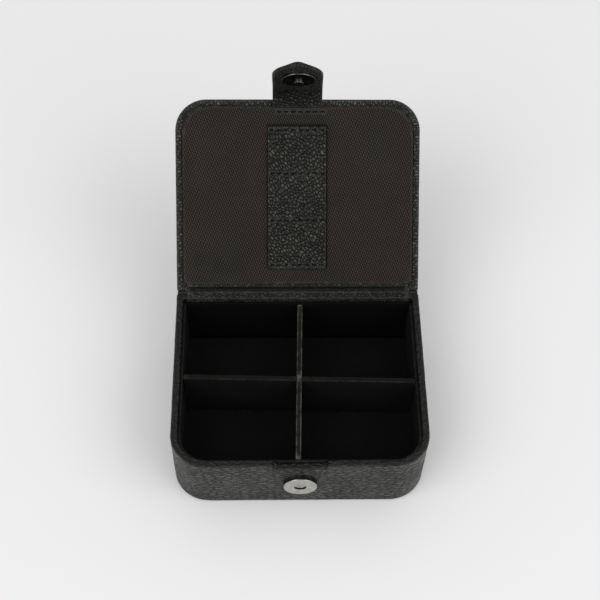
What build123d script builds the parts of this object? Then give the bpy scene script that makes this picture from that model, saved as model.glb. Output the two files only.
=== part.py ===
from build123d import *
import os

# Leather-covered cufflink box with a hinged lid and a snap tab, shown open.
# Millimetres. The origin is the centre of the underside, +Z is up, the front faces -Y.
# The lid pieces are drawn closed and the tab pieces straight, then both are turned to the open rest pose.

# Base
BASE_WIDTH = 106.0
BASE_DEPTH = 83.5
BASE_HEIGHT = 34.2
BASE_FRONT_RADIUS = 15.0
BASE_BACK_RADIUS = 3.0
LEATHER = 0.7
TURN_IN_LEATHER = 0.5
TURN_IN_DEPTH = 9.0
BOTTOM_TURN_IN_WIDTH = 12.0
WALL_BOARD = 1.7
BOTTOM_BOARD = 1.8
UNDERSIDE_PANEL = 0.4
UNDERSIDE_PANEL_INSET = 3.0
RIM_OUTER_ROUNDING = 1.0
RIM_INNER_ROUNDING = 0.5
BOTTOM_EDGE_ROUNDING = 1.4
SMALLEST_CORNER = 0.4
CUT_OVERSHOOT = 1.0

# Liner and dividers
LINER_CARD = 0.7
LINER_FABRIC = 0.4
LINER_DROP = 1.8
FLOOR_CARD = 0.5
FLOOR_FABRIC = 0.3
FLOOR_EDGE_CLEARANCE = 0.1
DIVIDER_BOARD = 1.4
DIVIDER_FABRIC = 0.4
DIVIDER_DROP = 1.8
DIVIDER_END_CLEARANCE = 0.25
LAP_CLEARANCE = 0.15
INSERT_SKEW = -1.4

# Lid
LID_FRONT_RADIUS = 13.5
LID_BACK_RADIUS = 3.0
LID_BOARD = 1.5
LID_PADDING = 0.8
LID_TURN_IN_WIDTH = 12.0
LID_OUTER_ROUNDING = 1.4
LID_INNER_ROUNDING = 0.4
LID_OPEN_ANGLE = 140.1
LINING_CARD = 0.9
LINING_FABRIC = 0.35
LINING_SIDE_MARGIN = 3.2
LINING_FRONT_MARGIN = 3.4
LINING_BACK_MARGIN = 3.7
LINING_FRONT_RADIUS = 11.5
LINING_BACK_RADIUS = 2.0

# Inner hinge strip
STRIP_LEATHER = 0.4
STRIP_SIDE_CLEARANCE = 1.6
STRIP_DEPTH = 10.0
STRIP_LID_LENGTH = 7.0
STRIP_PIVOT_GAP = 0.15
STRIP_CLOSED_GAP = 0.2
STRIP_LINER_CLEARANCE = 0.1
STRIP_LINING_CLEARANCE = 0.05
STRIP_BEND_ROUNDING = 0.35

# Loop strap on the lining
STRAP_WIDTH = 25.2
STRAP_OFFSET = -0.4
STRAP_LEATHER = 0.8
STRAP_BACK_MARGIN = 10.4
STRAP_FRONT_MARGIN = 11.6
STRAP_END_LAP = 1.6
STRAP_SEAM_FLAT = 1.2
LOOP_COUNT = 3
THIRD_SEAM_SHIFT = 0.9
LOOP_RISE = 0.5

# Stitches
STITCH_LENGTH = 2.2
STITCH_PITCH = 3.1
STITCH_WIDTH = 0.5
STITCH_HEIGHT = 0.25
STITCH_SIDE_MARGIN = 0.9
TAB_SEAM_INSET = 1.9
TAB_SEAM_WIDTH = 21.6
TAB_SEAM_OFFSET = 1.2

# Snap tab
TAB_WIDTH = 21.4
TAB_OFFSET = -0.2
TAB_LAYER = 0.9
TAB_SHOULDER = 20.4
TAB_LENGTH = 29.0
TAB_TIP_ROUNDING = 2.5
TAB_SHOULDER_ROUNDING = 4.0
TAB_ROOT_LENGTH = 8.5
TAB_ROOT_SKIVED = 0.8
TAB_ROOT_BEVEL = 0.7
TAB_ROOT_CLEARANCE = 0.05
TAB_REST_FOLD = 73.0
FOLD_CLEARANCE = 0.05

# Notch in the front rim that the tab passes through
NOTCH_TOP_WIDTH = 23.0
NOTCH_BOTTOM_WIDTH = 20.4
NOTCH_DEPTH = 2.7

# Magnetic snap
SNAP_RADIUS = 7.0
SNAP_DROP = 15.15
SNAP_FEMALE_HEIGHT = 2.35
SNAP_SHEET = 0.4
SNAP_EDGE_ROUNDING = 0.8
SNAP_HOLE_RADIUS = 2.45
SNAP_SLEEVE_WALL = 0.3
MAGNET_CLEARANCE = 0.1
MAGNET_THICKNESS = 1.5
SNAP_PLATE = 0.3
SNAP_MALE_DISC = 1.05
SNAP_MALE_ROUNDING = 0.35
SNAP_STUD_RADIUS = 2.0
SNAP_STUD_LENGTH = 1.6
SNAP_STUD_ROUNDING = 0.5
SNAP_CLOSED_GAP = 0.1
PRONG_WIDTH = 2.4
PRONG_SHEET = 0.2
PRONG_SPACING = 6.0
PRONG_FOOT = 2.6
PRONG_SLOT_CLEARANCE = 0.1
WASHER_WIDTH = 13.0
WASHER_HEIGHT = 6.0
WASHER_SHEET = 0.2
MALE_WASHER_RADIUS = 5.6
MALE_PRONG_FOOT = 1.8
MALE_RECESS_CLEARANCE = 0.05

# Places worked out from the sizes above
wall = LEATHER + WALL_BOARD + TURN_IN_LEATHER
board_inner_inset = LEATHER + WALL_BOARD
liner_inner_inset = wall + LINER_CARD + LINER_FABRIC
liner_back_shift = STRIP_LEATHER + STRIP_LINER_CLEARANCE
strip_width = BASE_WIDTH - 2 * (wall + STRIP_SIDE_CLEARANCE)
bottom_board_z = UNDERSIDE_PANEL + LEATHER
floor_board_top = bottom_board_z + BOTTOM_BOARD
floor_top = floor_board_top + FLOOR_CARD + FLOOR_FABRIC
front_y = -BASE_DEPTH / 2
back_y = BASE_DEPTH / 2
lid_gap = 2 * STRIP_LEATHER + STRIP_CLOSED_GAP
lid_face_z = BASE_HEIGHT + lid_gap
lid_thickness = TURN_IN_LEATHER + LID_BOARD + LID_PADDING + LEATHER
hinge_axis = Axis((0, back_y, BASE_HEIGHT + lid_gap / 2), (1, 0, 0))
divider_thickness = DIVIDER_BOARD + 2 * DIVIDER_FABRIC
divider_top = BASE_HEIGHT - DIVIDER_DROP
snap_z = BASE_HEIGHT - SNAP_DROP
snap_stack = SNAP_FEMALE_HEIGHT + SNAP_CLOSED_GAP + SNAP_MALE_DISC
tab_pivot_y = front_y - snap_stack - TAB_LAYER
tab_pivot_z = lid_face_z - TAB_LAYER
tab_axis = Axis((0, tab_pivot_y, tab_pivot_z), (1, 0, 0))
snap_along_tab = tab_pivot_z - snap_z
lining_thickness = LINING_CARD + LINING_FABRIC
lining_front_y = front_y + LINING_FRONT_MARGIN
lining_face_z = lid_face_z - lining_thickness


def rounded_rectangle(x_half, y_front, y_back, front_radius, back_radius):
    """A face in the XY plane whose front and back corners have their own radii."""
    face = Pos(0, (y_front + y_back) / 2) * Rectangle(2 * x_half, y_back - y_front)
    face = fillet(face.vertices().sort_by(Axis.Y)[:2], front_radius)
    return fillet(face.vertices().sort_by(Axis.Y)[-2:], back_radius)


def base_footprint(inset, back_shift=0.0):
    """The base's outline, drawn in by an inset."""
    return rounded_rectangle(
        BASE_WIDTH / 2 - inset,
        front_y + inset,
        back_y - inset - back_shift,
        max(BASE_FRONT_RADIUS - inset, SMALLEST_CORNER),
        max(BASE_BACK_RADIUS - inset, SMALLEST_CORNER),
    )


def lid_footprint(inset):
    """The lid's outline, drawn in by an inset."""
    return rounded_rectangle(
        BASE_WIDTH / 2 - inset,
        front_y + inset,
        back_y - inset,
        max(LID_FRONT_RADIUS - inset, SMALLEST_CORNER),
        max(LID_BACK_RADIUS - inset, SMALLEST_CORNER),
    )


def lining_footprint(inset):
    """The lining's outline inside the lid's leather margin."""
    return rounded_rectangle(
        BASE_WIDTH / 2 - LINING_SIDE_MARGIN - inset,
        lining_front_y + inset,
        back_y - LINING_BACK_MARGIN - inset,
        max(LINING_FRONT_RADIUS - inset, SMALLEST_CORNER),
        max(LINING_BACK_RADIUS - inset, SMALLEST_CORNER),
    )


def prism(face, z_low, z_high):
    """The face drawn up between two heights."""
    return extrude(Pos(0, 0, z_low) * face, z_high - z_low)


def block(x_low, x_high, y_low, y_high, z_low, z_high):
    """A box between two corners."""
    size = (x_high - x_low, y_high - y_low, z_high - z_low)
    centre = ((x_low + x_high) / 2, (y_low + y_high) / 2, (z_low + z_high) / 2)
    return Pos(*centre) * Box(*size)


def open_lid(shape):
    """A piece of the lid, drawn closed, at the lid's open rest pose."""
    return shape.rotate(hinge_axis, -LID_OPEN_ANGLE)


def fold_tab(shape):
    """A piece of the tab, drawn straight on a closed lid, at its folded rest pose on the open lid."""
    return open_lid(shape.rotate(tab_axis, TAB_REST_FOLD))


def notch_cutter(margin):
    """The sloped notch in the front rim, widened and deepened by a margin."""
    top = NOTCH_TOP_WIDTH / 2 + margin
    bottom = NOTCH_BOTTOM_WIDTH / 2 + margin
    floor = BASE_HEIGHT - NOTCH_DEPTH - margin
    slope = (top - bottom) / (BASE_HEIGHT - floor)
    above = BASE_HEIGHT + CUT_OVERSHOOT
    top += slope * CUT_OVERSHOOT
    corners = [(-top, above), (-bottom, floor), (bottom, floor), (top, above)]
    face = Plane.XZ * make_face(Polyline(*corners, close=True))
    depth = CUT_OVERSHOOT + wall + LINER_CARD / 2
    return Pos(TAB_OFFSET, front_y - CUT_OVERSHOOT) * extrude(face, -depth)


def prong_slots(y_low, y_high, height):
    """Two upright slots for the snap's prongs, from one depth to another."""
    half_width = PRONG_SHEET / 2 + PRONG_SLOT_CLEARANCE
    half_height = PRONG_WIDTH / 2 + PRONG_SLOT_CLEARANCE
    slots = []
    for side in (-1, 1):
        x = side * PRONG_SPACING / 2
        slots.append(
            block(x - half_width, x + half_width, y_low, y_high, height - half_height, height + half_height)
        )
    return slots


# Base


def base_wall_board():
    """The upright board ring with the tab's notch and the snap's slots."""
    top = BASE_HEIGHT - LEATHER
    ring = prism(base_footprint(LEATHER), bottom_board_z, top)
    ring -= prism(base_footprint(board_inner_inset), bottom_board_z, top)
    ring -= notch_cutter(LEATHER)
    return ring - prong_slots(front_y, front_y + wall, snap_z)


def base_bottom_board():
    """The bottom board, which fits inside the wall ring."""
    return prism(base_footprint(board_inner_inset), bottom_board_z, floor_board_top)


def base_leather_wrap():
    """The leather over the walls and rim, turned in at the top and under the bottom."""
    skin = prism(base_footprint(0), UNDERSIDE_PANEL, BASE_HEIGHT)
    skin -= prism(base_footprint(wall), bottom_board_z, BASE_HEIGHT)
    rim = skin.faces().sort_by(Axis.Z)[-1]
    skin = fillet(rim.inner_wires()[0].edges(), RIM_INNER_ROUNDING)
    rim = skin.faces().sort_by(Axis.Z)[-1]
    skin = fillet(rim.outer_wire().edges(), RIM_OUTER_ROUNDING)
    foot = skin.faces().sort_by(Axis.Z)[0]
    skin = fillet(foot.outer_wire().edges(), BOTTOM_EDGE_ROUNDING)
    board_space = prism(base_footprint(LEATHER), bottom_board_z, BASE_HEIGHT - LEATHER)
    board_space -= prism(base_footprint(board_inner_inset), bottom_board_z, BASE_HEIGHT - LEATHER)
    skin -= board_space - notch_cutter(LEATHER)
    turn_in_end = BASE_HEIGHT - LEATHER - TURN_IN_DEPTH
    skin -= prism(base_footprint(board_inner_inset), bottom_board_z, turn_in_end)
    skin -= prism(base_footprint(BOTTOM_TURN_IN_WIDTH), 0, bottom_board_z)
    skin -= notch_cutter(0)
    return skin - prong_slots(front_y - CUT_OVERSHOOT, front_y + wall, snap_z)


def base_underside_panel():
    """The panel glued over the turned-in leather, on which the box stands."""
    return prism(base_footprint(UNDERSIDE_PANEL_INSET), 0, UNDERSIDE_PANEL)


# Liner and dividers


def liner_wall_card():
    """The card ring that stands inside the walls."""
    top = BASE_HEIGHT - LINER_DROP - LINER_FABRIC
    ring = prism(base_footprint(wall, liner_back_shift), floor_board_top, top)
    return ring - prism(base_footprint(wall + LINER_CARD, liner_back_shift), floor_board_top, top)


def liner_wall_fabric():
    """The fabric on the card ring's inner face and over its top edge."""
    top = BASE_HEIGHT - LINER_DROP
    skin = prism(base_footprint(wall, liner_back_shift), floor_board_top, top)
    skin -= prism(base_footprint(liner_inner_inset, liner_back_shift), floor_board_top, top)
    card_space = prism(base_footprint(wall, liner_back_shift), floor_board_top, top - LINER_FABRIC)
    card_space -= prism(
        base_footprint(wall + LINER_CARD, liner_back_shift), floor_board_top, top - LINER_FABRIC
    )
    return skin - card_space


def liner_floor_card():
    """The card under the floor's fabric."""
    inset = liner_inner_inset + FLOOR_EDGE_CLEARANCE
    return prism(base_footprint(inset, liner_back_shift), floor_board_top, floor_board_top + FLOOR_CARD)


def liner_floor_fabric():
    """The fabric that shows as the floor."""
    inset = liner_inner_inset + FLOOR_EDGE_CLEARANCE
    return prism(base_footprint(inset, liner_back_shift), floor_board_top + FLOOR_CARD, floor_top)


def skewed(shape):
    """A divider turned by the small angle at which the insert sits in the box."""
    return shape.rotate(insert_axis, INSERT_SKEW)


insert_centre_y = (front_y + back_y - liner_back_shift) / 2
insert_axis = Axis((0, insert_centre_y, 0), (0, 0, 1))
long_half = (BASE_DEPTH - 2 * liner_inner_inset - liner_back_shift) / 2 - DIVIDER_END_CLEARANCE
cross_half = BASE_WIDTH / 2 - liner_inner_inset - DIVIDER_END_CLEARANCE
lap_z = (floor_top + divider_top) / 2
lap_half = divider_thickness / 2 + LAP_CLEARANCE


def long_divider_blank(half_thickness, top):
    """The front-to-back divider with its slot open at the bottom."""
    blank = block(
        -half_thickness,
        half_thickness,
        insert_centre_y - long_half,
        insert_centre_y + long_half,
        floor_top,
        top,
    )
    slot_top = lap_z + LAP_CLEARANCE
    return blank - block(
        -lap_half, lap_half, insert_centre_y - lap_half, insert_centre_y + lap_half, floor_top, slot_top
    )


def cross_divider_blank(half_thickness, top):
    """The left-to-right divider with its slot open at the top."""
    blank = block(
        -cross_half,
        cross_half,
        insert_centre_y - half_thickness,
        insert_centre_y + half_thickness,
        floor_top,
        top,
    )
    slot_floor = lap_z - LAP_CLEARANCE
    return blank - block(
        -lap_half,
        lap_half,
        insert_centre_y - lap_half,
        insert_centre_y + lap_half,
        slot_floor,
        divider_top,
    )


def divider_long_board():
    """The card core of the front-to-back divider."""
    return skewed(long_divider_blank(DIVIDER_BOARD / 2, divider_top - DIVIDER_FABRIC))


def divider_long_fabric():
    """The fabric folded over the front-to-back divider."""
    cover = long_divider_blank(divider_thickness / 2, divider_top)
    return skewed(cover - long_divider_blank(DIVIDER_BOARD / 2, divider_top - DIVIDER_FABRIC))


def divider_cross_board():
    """The card core of the left-to-right divider."""
    return skewed(cross_divider_blank(DIVIDER_BOARD / 2, divider_top - DIVIDER_FABRIC))


def divider_cross_fabric():
    """The fabric folded over the left-to-right divider."""
    cover = cross_divider_blank(divider_thickness / 2, divider_top)
    return skewed(cover - cross_divider_blank(DIVIDER_BOARD / 2, divider_top - DIVIDER_FABRIC))


# Female half of the snap, on the front wall


def on_front_wall(shape):
    """A round piece drawn along +Z, turned to stand out of the front wall at the snap's height."""
    return Pos(0, front_y, snap_z) * (Rot(90, 0, 0) * shape)


def snap_female_cap():
    """The drawn metal cup with its centre hole and inner sleeve."""
    cup = Pos(0, 0, SNAP_FEMALE_HEIGHT / 2) * Cylinder(SNAP_RADIUS, SNAP_FEMALE_HEIGHT)
    cup = fillet(cup.edges().sort_by(Axis.Z)[-1], SNAP_EDGE_ROUNDING)
    hollow_height = SNAP_FEMALE_HEIGHT - SNAP_SHEET
    hollow = Pos(0, 0, hollow_height / 2) * Cylinder(SNAP_RADIUS - SNAP_SHEET, hollow_height)
    hollow = fillet(hollow.edges().sort_by(Axis.Z)[-1], SNAP_EDGE_ROUNDING - SNAP_SHEET)
    sleeve_length = hollow_height - SNAP_PLATE
    sleeve = Pos(0, 0, SNAP_PLATE + sleeve_length / 2) * Cylinder(
        SNAP_HOLE_RADIUS + SNAP_SLEEVE_WALL, sleeve_length
    )
    hole = Pos(0, 0, SNAP_PLATE + SNAP_FEMALE_HEIGHT / 2) * Cylinder(SNAP_HOLE_RADIUS, SNAP_FEMALE_HEIGHT)
    return on_front_wall(cup - hollow + sleeve - hole)


def snap_magnet():
    """The ring magnet inside the cup."""
    outer = SNAP_RADIUS - SNAP_SHEET - MAGNET_CLEARANCE
    inner = SNAP_HOLE_RADIUS + SNAP_SLEEVE_WALL + MAGNET_CLEARANCE
    ring = Cylinder(outer, MAGNET_THICKNESS) - Cylinder(inner, MAGNET_THICKNESS)
    ring = chamfer(ring.edges().sort_by(Axis.Z)[-2:], MAGNET_CLEARANCE)
    return on_front_wall(Pos(0, 0, SNAP_PLATE + MAGNET_THICKNESS / 2) * ring)


def snap_female_plate():
    """The back plate in the cup, with two prongs through the wall, bent over its washer."""
    plate = Pos(0, 0, SNAP_PLATE / 2) * Cylinder(SNAP_RADIUS - SNAP_SHEET - MAGNET_CLEARANCE, SNAP_PLATE)
    reach = board_inner_inset + WASHER_SHEET
    for side in (-1, 1):
        x = side * PRONG_SPACING / 2
        half = PRONG_SHEET / 2
        leg = block(x - half, x + half, -PRONG_WIDTH / 2, PRONG_WIDTH / 2, -reach - PRONG_SHEET, 0)
        foot_end = x + side * PRONG_FOOT
        foot = block(
            min(x, foot_end),
            max(x, foot_end),
            -PRONG_WIDTH / 2,
            PRONG_WIDTH / 2,
            -reach - PRONG_SHEET,
            -reach,
        )
        plate += leg + foot
    return on_front_wall(plate)


def snap_female_washer():
    """The slotted washer behind the wall board."""
    y_low = front_y + board_inner_inset
    washer = block(
        -WASHER_WIDTH / 2,
        WASHER_WIDTH / 2,
        y_low,
        y_low + WASHER_SHEET,
        snap_z - WASHER_HEIGHT / 2,
        snap_z + WASHER_HEIGHT / 2,
    )
    return washer - prong_slots(y_low, y_low + WASHER_SHEET, snap_z)


# Inner hinge strip


def hinge_strip_base():
    """The strip's leaf behind the liner and over the back rim."""
    inner_y = back_y - wall - STRIP_LEATHER
    leaf = block(
        -strip_width / 2,
        strip_width / 2,
        inner_y,
        back_y - STRIP_PIVOT_GAP,
        BASE_HEIGHT - STRIP_DEPTH,
        BASE_HEIGHT + STRIP_LEATHER,
    )
    leaf -= block(
        -strip_width / 2, strip_width / 2, inner_y + STRIP_LEATHER, back_y, 0, BASE_HEIGHT
    )
    bend = leaf.edges().filter_by(Axis.X).group_by(Axis.Z)[-1].sort_by(Axis.Y)[0]
    return fillet(bend, STRIP_BEND_ROUNDING)


def hinge_strip_lid():
    """The strip's leaf on the lid, whose far part lies under the lining."""
    leaf = block(
        -strip_width / 2,
        strip_width / 2,
        back_y - STRIP_LID_LENGTH,
        back_y - STRIP_PIVOT_GAP,
        lid_face_z - STRIP_LEATHER,
        lid_face_z,
    )
    return open_lid(leaf)


# Lid


def lid_board():
    """The stiff board inside the lid."""
    low = lid_face_z + TURN_IN_LEATHER
    return open_lid(prism(lid_footprint(LEATHER), low, low + LID_BOARD))


def lid_padding():
    """The thin foam between the lid's board and its outer leather."""
    low = lid_face_z + TURN_IN_LEATHER + LID_BOARD
    return open_lid(prism(lid_footprint(LEATHER), low, low + LID_PADDING))


def lid_leather_cover():
    """The leather over the lid's outside and edges, turned in round its inner face."""
    top = lid_face_z + lid_thickness
    skin = prism(lid_footprint(0), lid_face_z, top)
    skin = fillet(skin.faces().sort_by(Axis.Z)[-1].outer_wire().edges(), LID_OUTER_ROUNDING)
    skin = fillet(skin.faces().sort_by(Axis.Z)[0].outer_wire().edges(), LID_INNER_ROUNDING)
    skin -= prism(lid_footprint(LEATHER), lid_face_z + TURN_IN_LEATHER, top - LEATHER)
    skin -= prism(lid_footprint(LID_TURN_IN_WIDTH), lid_face_z, lid_face_z + TURN_IN_LEATHER)
    return open_lid(skin)


def tab_root_space(z_low, z_high):
    """The room for the tab's root under the lining's front edge."""
    half = TAB_WIDTH / 2 + TAB_ROOT_CLEARANCE
    end_y = front_y + TAB_ROOT_LENGTH + TAB_ROOT_CLEARANCE
    return block(TAB_OFFSET - half, TAB_OFFSET + half, front_y, end_y, z_low, z_high)


def strip_space():
    """The room for the hinge strip's leaf under the lining's back edge."""
    half = strip_width / 2 + STRIP_LINING_CLEARANCE
    start_y = back_y - STRIP_LID_LENGTH - STRIP_LINING_CLEARANCE
    low = lid_face_z - STRIP_LEATHER - STRIP_LINING_CLEARANCE
    return block(-half, half, start_y, back_y, low, lid_face_z)


def lid_lining_card():
    """The card behind the lining fabric, relieved for the tab's root and the hinge strip."""
    card = prism(lining_footprint(LINING_FABRIC), lid_face_z - LINING_CARD, lid_face_z)
    card -= tab_root_space(lid_face_z - LINING_CARD, lid_face_z)
    return open_lid(card - strip_space())


def lid_lining_fabric():
    """The twill over the card's face and edges."""
    skin = prism(lining_footprint(0), lining_face_z, lid_face_z)
    skin -= prism(lining_footprint(LINING_FABRIC), lid_face_z - LINING_CARD, lid_face_z)
    skin -= tab_root_space(lid_face_z - LINING_CARD, lid_face_z)
    return open_lid(skin - strip_space())


def strap_seams():
    """Distances of the strap's seams from the lid's hinge edge, from the hinge end forward."""
    first = STRAP_BACK_MARGIN + STRAP_END_LAP
    last = BASE_DEPTH - STRAP_FRONT_MARGIN - STRAP_END_LAP
    pitch = (last - first) / LOOP_COUNT
    seams = [first + index * pitch for index in range(LOOP_COUNT + 1)]
    seams[2] += THIRD_SEAM_SHIFT
    return seams


def strap_side(height):
    """The strap's long outline at a height above the lining, with a rise in each loop."""
    seams = strap_seams()
    points = [(seams[0] - STRAP_END_LAP, height)]
    edges = []
    for start, end in zip(seams[:-1], seams[1:]):
        low = (start + STRAP_SEAM_FLAT, height)
        crest = ((start + end) / 2, height + LOOP_RISE)
        high = (end - STRAP_SEAM_FLAT, height)
        edges.append(Line(points[-1], low))
        edges.append(ThreePointArc(low, crest, high))
        points.append(high)
    tail = (seams[-1] + STRAP_END_LAP, height)
    edges.append(Line(points[-1], tail))
    return edges, points[0], tail


def loop_strap():
    """The leather strap with its three low loops, lying on the lining."""
    lower, lower_start, lower_end = strap_side(0)
    upper, upper_start, upper_end = strap_side(STRAP_LEATHER)
    ends = [Line(lower_start, upper_start), Line(lower_end, upper_end)]
    side = make_face(lower + upper + ends)
    # The drawing's first axis runs forward along the lid and its second points out of the lining.
    corner = (STRAP_OFFSET - STRAP_WIDTH / 2, back_y, lining_face_z)
    plane = Plane(origin=corner, x_dir=(0, -1, 0), z_dir=(1, 0, 0))
    return open_lid(extrude(plane * side, STRAP_WIDTH))


def stitch_row(x_centre, row_width, y, z_face):
    """A row of thread lengths that lie on a face looking down, at one distance from the front."""
    count = int(row_width // STITCH_PITCH) + 1
    first = x_centre - (count - 1) * STITCH_PITCH / 2
    row = []
    for index in range(count):
        x = first + index * STITCH_PITCH
        flat = Pos(x, y, z_face - STITCH_HEIGHT) * SlotOverall(STITCH_LENGTH, STITCH_WIDTH)
        row.append(extrude(flat, STITCH_HEIGHT))
    return row


def strap_stitches():
    """The four seams that hold the strap to the lining."""
    stitches = []
    z_face = lining_face_z - STRAP_LEATHER
    for seam in strap_seams():
        stitches += stitch_row(STRAP_OFFSET, STRAP_WIDTH - STITCH_SIDE_MARGIN, back_y - seam, z_face)
    return open_lid(Compound(children=stitches))


def tab_seam_stitches():
    """The seam through the lining that holds the tab's root."""
    y = lining_front_y + TAB_SEAM_INSET
    return open_lid(Compound(children=stitch_row(TAB_SEAM_OFFSET, TAB_SEAM_WIDTH, y, lining_face_z)))


# Snap tab, drawn straight out from the closed lid's front edge


def fold_pin(radius):
    """A cylinder on the fold's axis, across the tab."""
    return Pos(TAB_OFFSET, tab_pivot_y, tab_pivot_z) * (Rot(0, 90, 0) * Cylinder(radius, TAB_WIDTH))


def fold_wedge(side):
    """The mitre that lets the two sides of the fold close to a right angle; side is -1 for the tab."""
    deep = 2 * TAB_LAYER
    corners = [(0, 0), (0, -deep), (side * deep, -deep)]
    face = Plane.YZ * make_face(Polyline(*corners, close=True))
    wedge = extrude(face, TAB_WIDTH)
    shift = side * FOLD_CLEARANCE
    return Pos(TAB_OFFSET - TAB_WIDTH / 2, tab_pivot_y + shift, tab_pivot_z) * wedge


def tab_outline():
    """The tab's outline from the fold to its rounded point, as a face in the XY plane."""
    half = TAB_WIDTH / 2
    corners = [
        (-half, 0),
        (-half, -TAB_SHOULDER),
        (0, -TAB_LENGTH),
        (half, -TAB_SHOULDER),
        (half, 0),
    ]
    face = make_face(Polyline(*corners, close=True))
    by_y = face.vertices().sort_by(Axis.Y)
    face = fillet(by_y[0], TAB_TIP_ROUNDING)
    shoulders = [v for v in face.vertices() if abs(abs(v.X) - half) < 0.01 and v.Y < -TAB_SHOULDER / 2]
    face = fillet(shoulders, TAB_SHOULDER_ROUNDING)
    return Pos(TAB_OFFSET, tab_pivot_y) * face


def male_recess(radius, z_low, z_high):
    """A round space at the snap's place on the straight tab."""
    centre = (0, tab_pivot_y - snap_along_tab, (z_low + z_high) / 2)
    return Pos(*centre) * Cylinder(radius, z_high - z_low)


def male_prong_slots(z_low, z_high):
    """Two slots through the tab's inner leather for the male half's prongs."""
    y = tab_pivot_y - snap_along_tab
    half_width = PRONG_SHEET / 2 + PRONG_SLOT_CLEARANCE
    half_height = PRONG_WIDTH / 2 + PRONG_SLOT_CLEARANCE
    slots = []
    for side in (-1, 1):
        x = side * PRONG_SPACING / 2
        slots.append(
            block(x - half_width, x + half_width, y - half_height, y + half_height, z_low, z_high)
        )
    return slots


male_recess_top = tab_pivot_z
male_recess_floor = tab_pivot_z - WASHER_SHEET - PRONG_SHEET - MALE_RECESS_CLEARANCE
tab_inner_z = tab_pivot_z - TAB_LAYER


def tab_outer_leather():
    """The tab's outer layer, which shows when the box is closed."""
    layer = prism(tab_outline(), tab_pivot_z, lid_face_z)
    lower_half = block(-TAB_WIDTH, TAB_WIDTH, 2 * front_y, 0, 0, tab_pivot_z)
    return fold_tab(layer + (fold_pin(TAB_LAYER) - lower_half))


def tab_inner_leather():
    """The tab's inner layer, which carries the male half of the snap."""
    layer = prism(tab_outline(), tab_inner_z, tab_pivot_z) - fold_wedge(-1)
    upper_half = block(-TAB_WIDTH, TAB_WIDTH, 2 * front_y, 0, tab_pivot_z, 2 * tab_pivot_z)
    layer += fold_pin(TAB_LAYER) - upper_half
    layer -= male_recess(MALE_WASHER_RADIUS + MALE_RECESS_CLEARANCE, male_recess_floor, male_recess_top)
    return fold_tab(layer - male_prong_slots(tab_inner_z, male_recess_top))


def tab_root_outer():
    """The outer layer's root on the lid's margin, skived where it runs under the lining."""
    half = TAB_WIDTH / 2
    left, right = TAB_OFFSET - half, TAB_OFFSET + half
    end_y = front_y + TAB_ROOT_LENGTH
    root = block(left, right, tab_pivot_y, end_y, tab_pivot_z, lid_face_z)
    root -= block(left, right, lining_front_y, end_y, tab_pivot_z, lid_face_z - TAB_ROOT_SKIVED)
    return open_lid(root - fold_pin(TAB_LAYER + FOLD_CLEARANCE))


def tab_root_inner():
    """The inner layer's root, which ends with a bevel at the lining's edge."""
    half = TAB_WIDTH / 2
    end_y = lining_front_y - TAB_ROOT_CLEARANCE
    root = block(TAB_OFFSET - half, TAB_OFFSET + half, tab_pivot_y, end_y, tab_inner_z, tab_pivot_z)
    bevel_edge = root.edges().filter_by(Axis.X).group_by(Axis.Z)[0].sort_by(Axis.Y)[-1]
    root = chamfer(bevel_edge, TAB_ROOT_BEVEL)
    root -= fold_wedge(1)
    return open_lid(root - fold_pin(TAB_LAYER + FOLD_CLEARANCE))


def snap_male_disc():
    """The male half's disc with two prongs through the inner leather, bent over its washer."""
    low = tab_inner_z - SNAP_MALE_DISC
    disc = male_recess(SNAP_RADIUS, low, tab_inner_z)
    disc = fillet(disc.edges().sort_by(Axis.Z)[0], SNAP_MALE_ROUNDING)
    y = tab_pivot_y - snap_along_tab
    foot_low = male_recess_floor + WASHER_SHEET
    for side in (-1, 1):
        x = side * PRONG_SPACING / 2
        half = PRONG_SHEET / 2
        y_low, y_high = y - PRONG_WIDTH / 2, y + PRONG_WIDTH / 2
        leg = block(x - half, x + half, y_low, y_high, tab_inner_z, foot_low + PRONG_SHEET)
        foot_end = x + side * MALE_PRONG_FOOT
        foot = block(min(x, foot_end), max(x, foot_end), y_low, y_high, foot_low, foot_low + PRONG_SHEET)
        disc += leg + foot
    return fold_tab(disc)


def snap_male_stud():
    """The stud that enters the female half's hole."""
    low = tab_inner_z - SNAP_MALE_DISC - SNAP_STUD_LENGTH
    stud = male_recess(SNAP_STUD_RADIUS, low, tab_inner_z - SNAP_MALE_DISC)
    return fold_tab(fillet(stud.edges().sort_by(Axis.Z)[0], SNAP_STUD_ROUNDING))


def snap_male_washer():
    """The slotted washer between the tab's two layers."""
    top = male_recess_floor + WASHER_SHEET
    washer = male_recess(MALE_WASHER_RADIUS, male_recess_floor, top)
    return fold_tab(washer - male_prong_slots(male_recess_floor, top))


SUB_PARTS = [
    base_wall_board,
    base_bottom_board,
    base_leather_wrap,
    base_underside_panel,
    liner_wall_card,
    liner_wall_fabric,
    liner_floor_card,
    liner_floor_fabric,
    divider_long_board,
    divider_long_fabric,
    divider_cross_board,
    divider_cross_fabric,
    snap_female_cap,
    snap_magnet,
    snap_female_plate,
    snap_female_washer,
    hinge_strip_base,
    hinge_strip_lid,
    lid_board,
    lid_padding,
    lid_leather_cover,
    lid_lining_card,
    lid_lining_fabric,
    loop_strap,
    strap_stitches,
    tab_seam_stitches,
    tab_root_outer,
    tab_root_inner,
    tab_outer_leather,
    tab_inner_leather,
    snap_male_disc,
    snap_male_stud,
    snap_male_washer,
]

os.makedirs("parts", exist_ok=True)
for make in SUB_PARTS:
    export_step(make(), f"parts/{make.__name__}.step")
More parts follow.
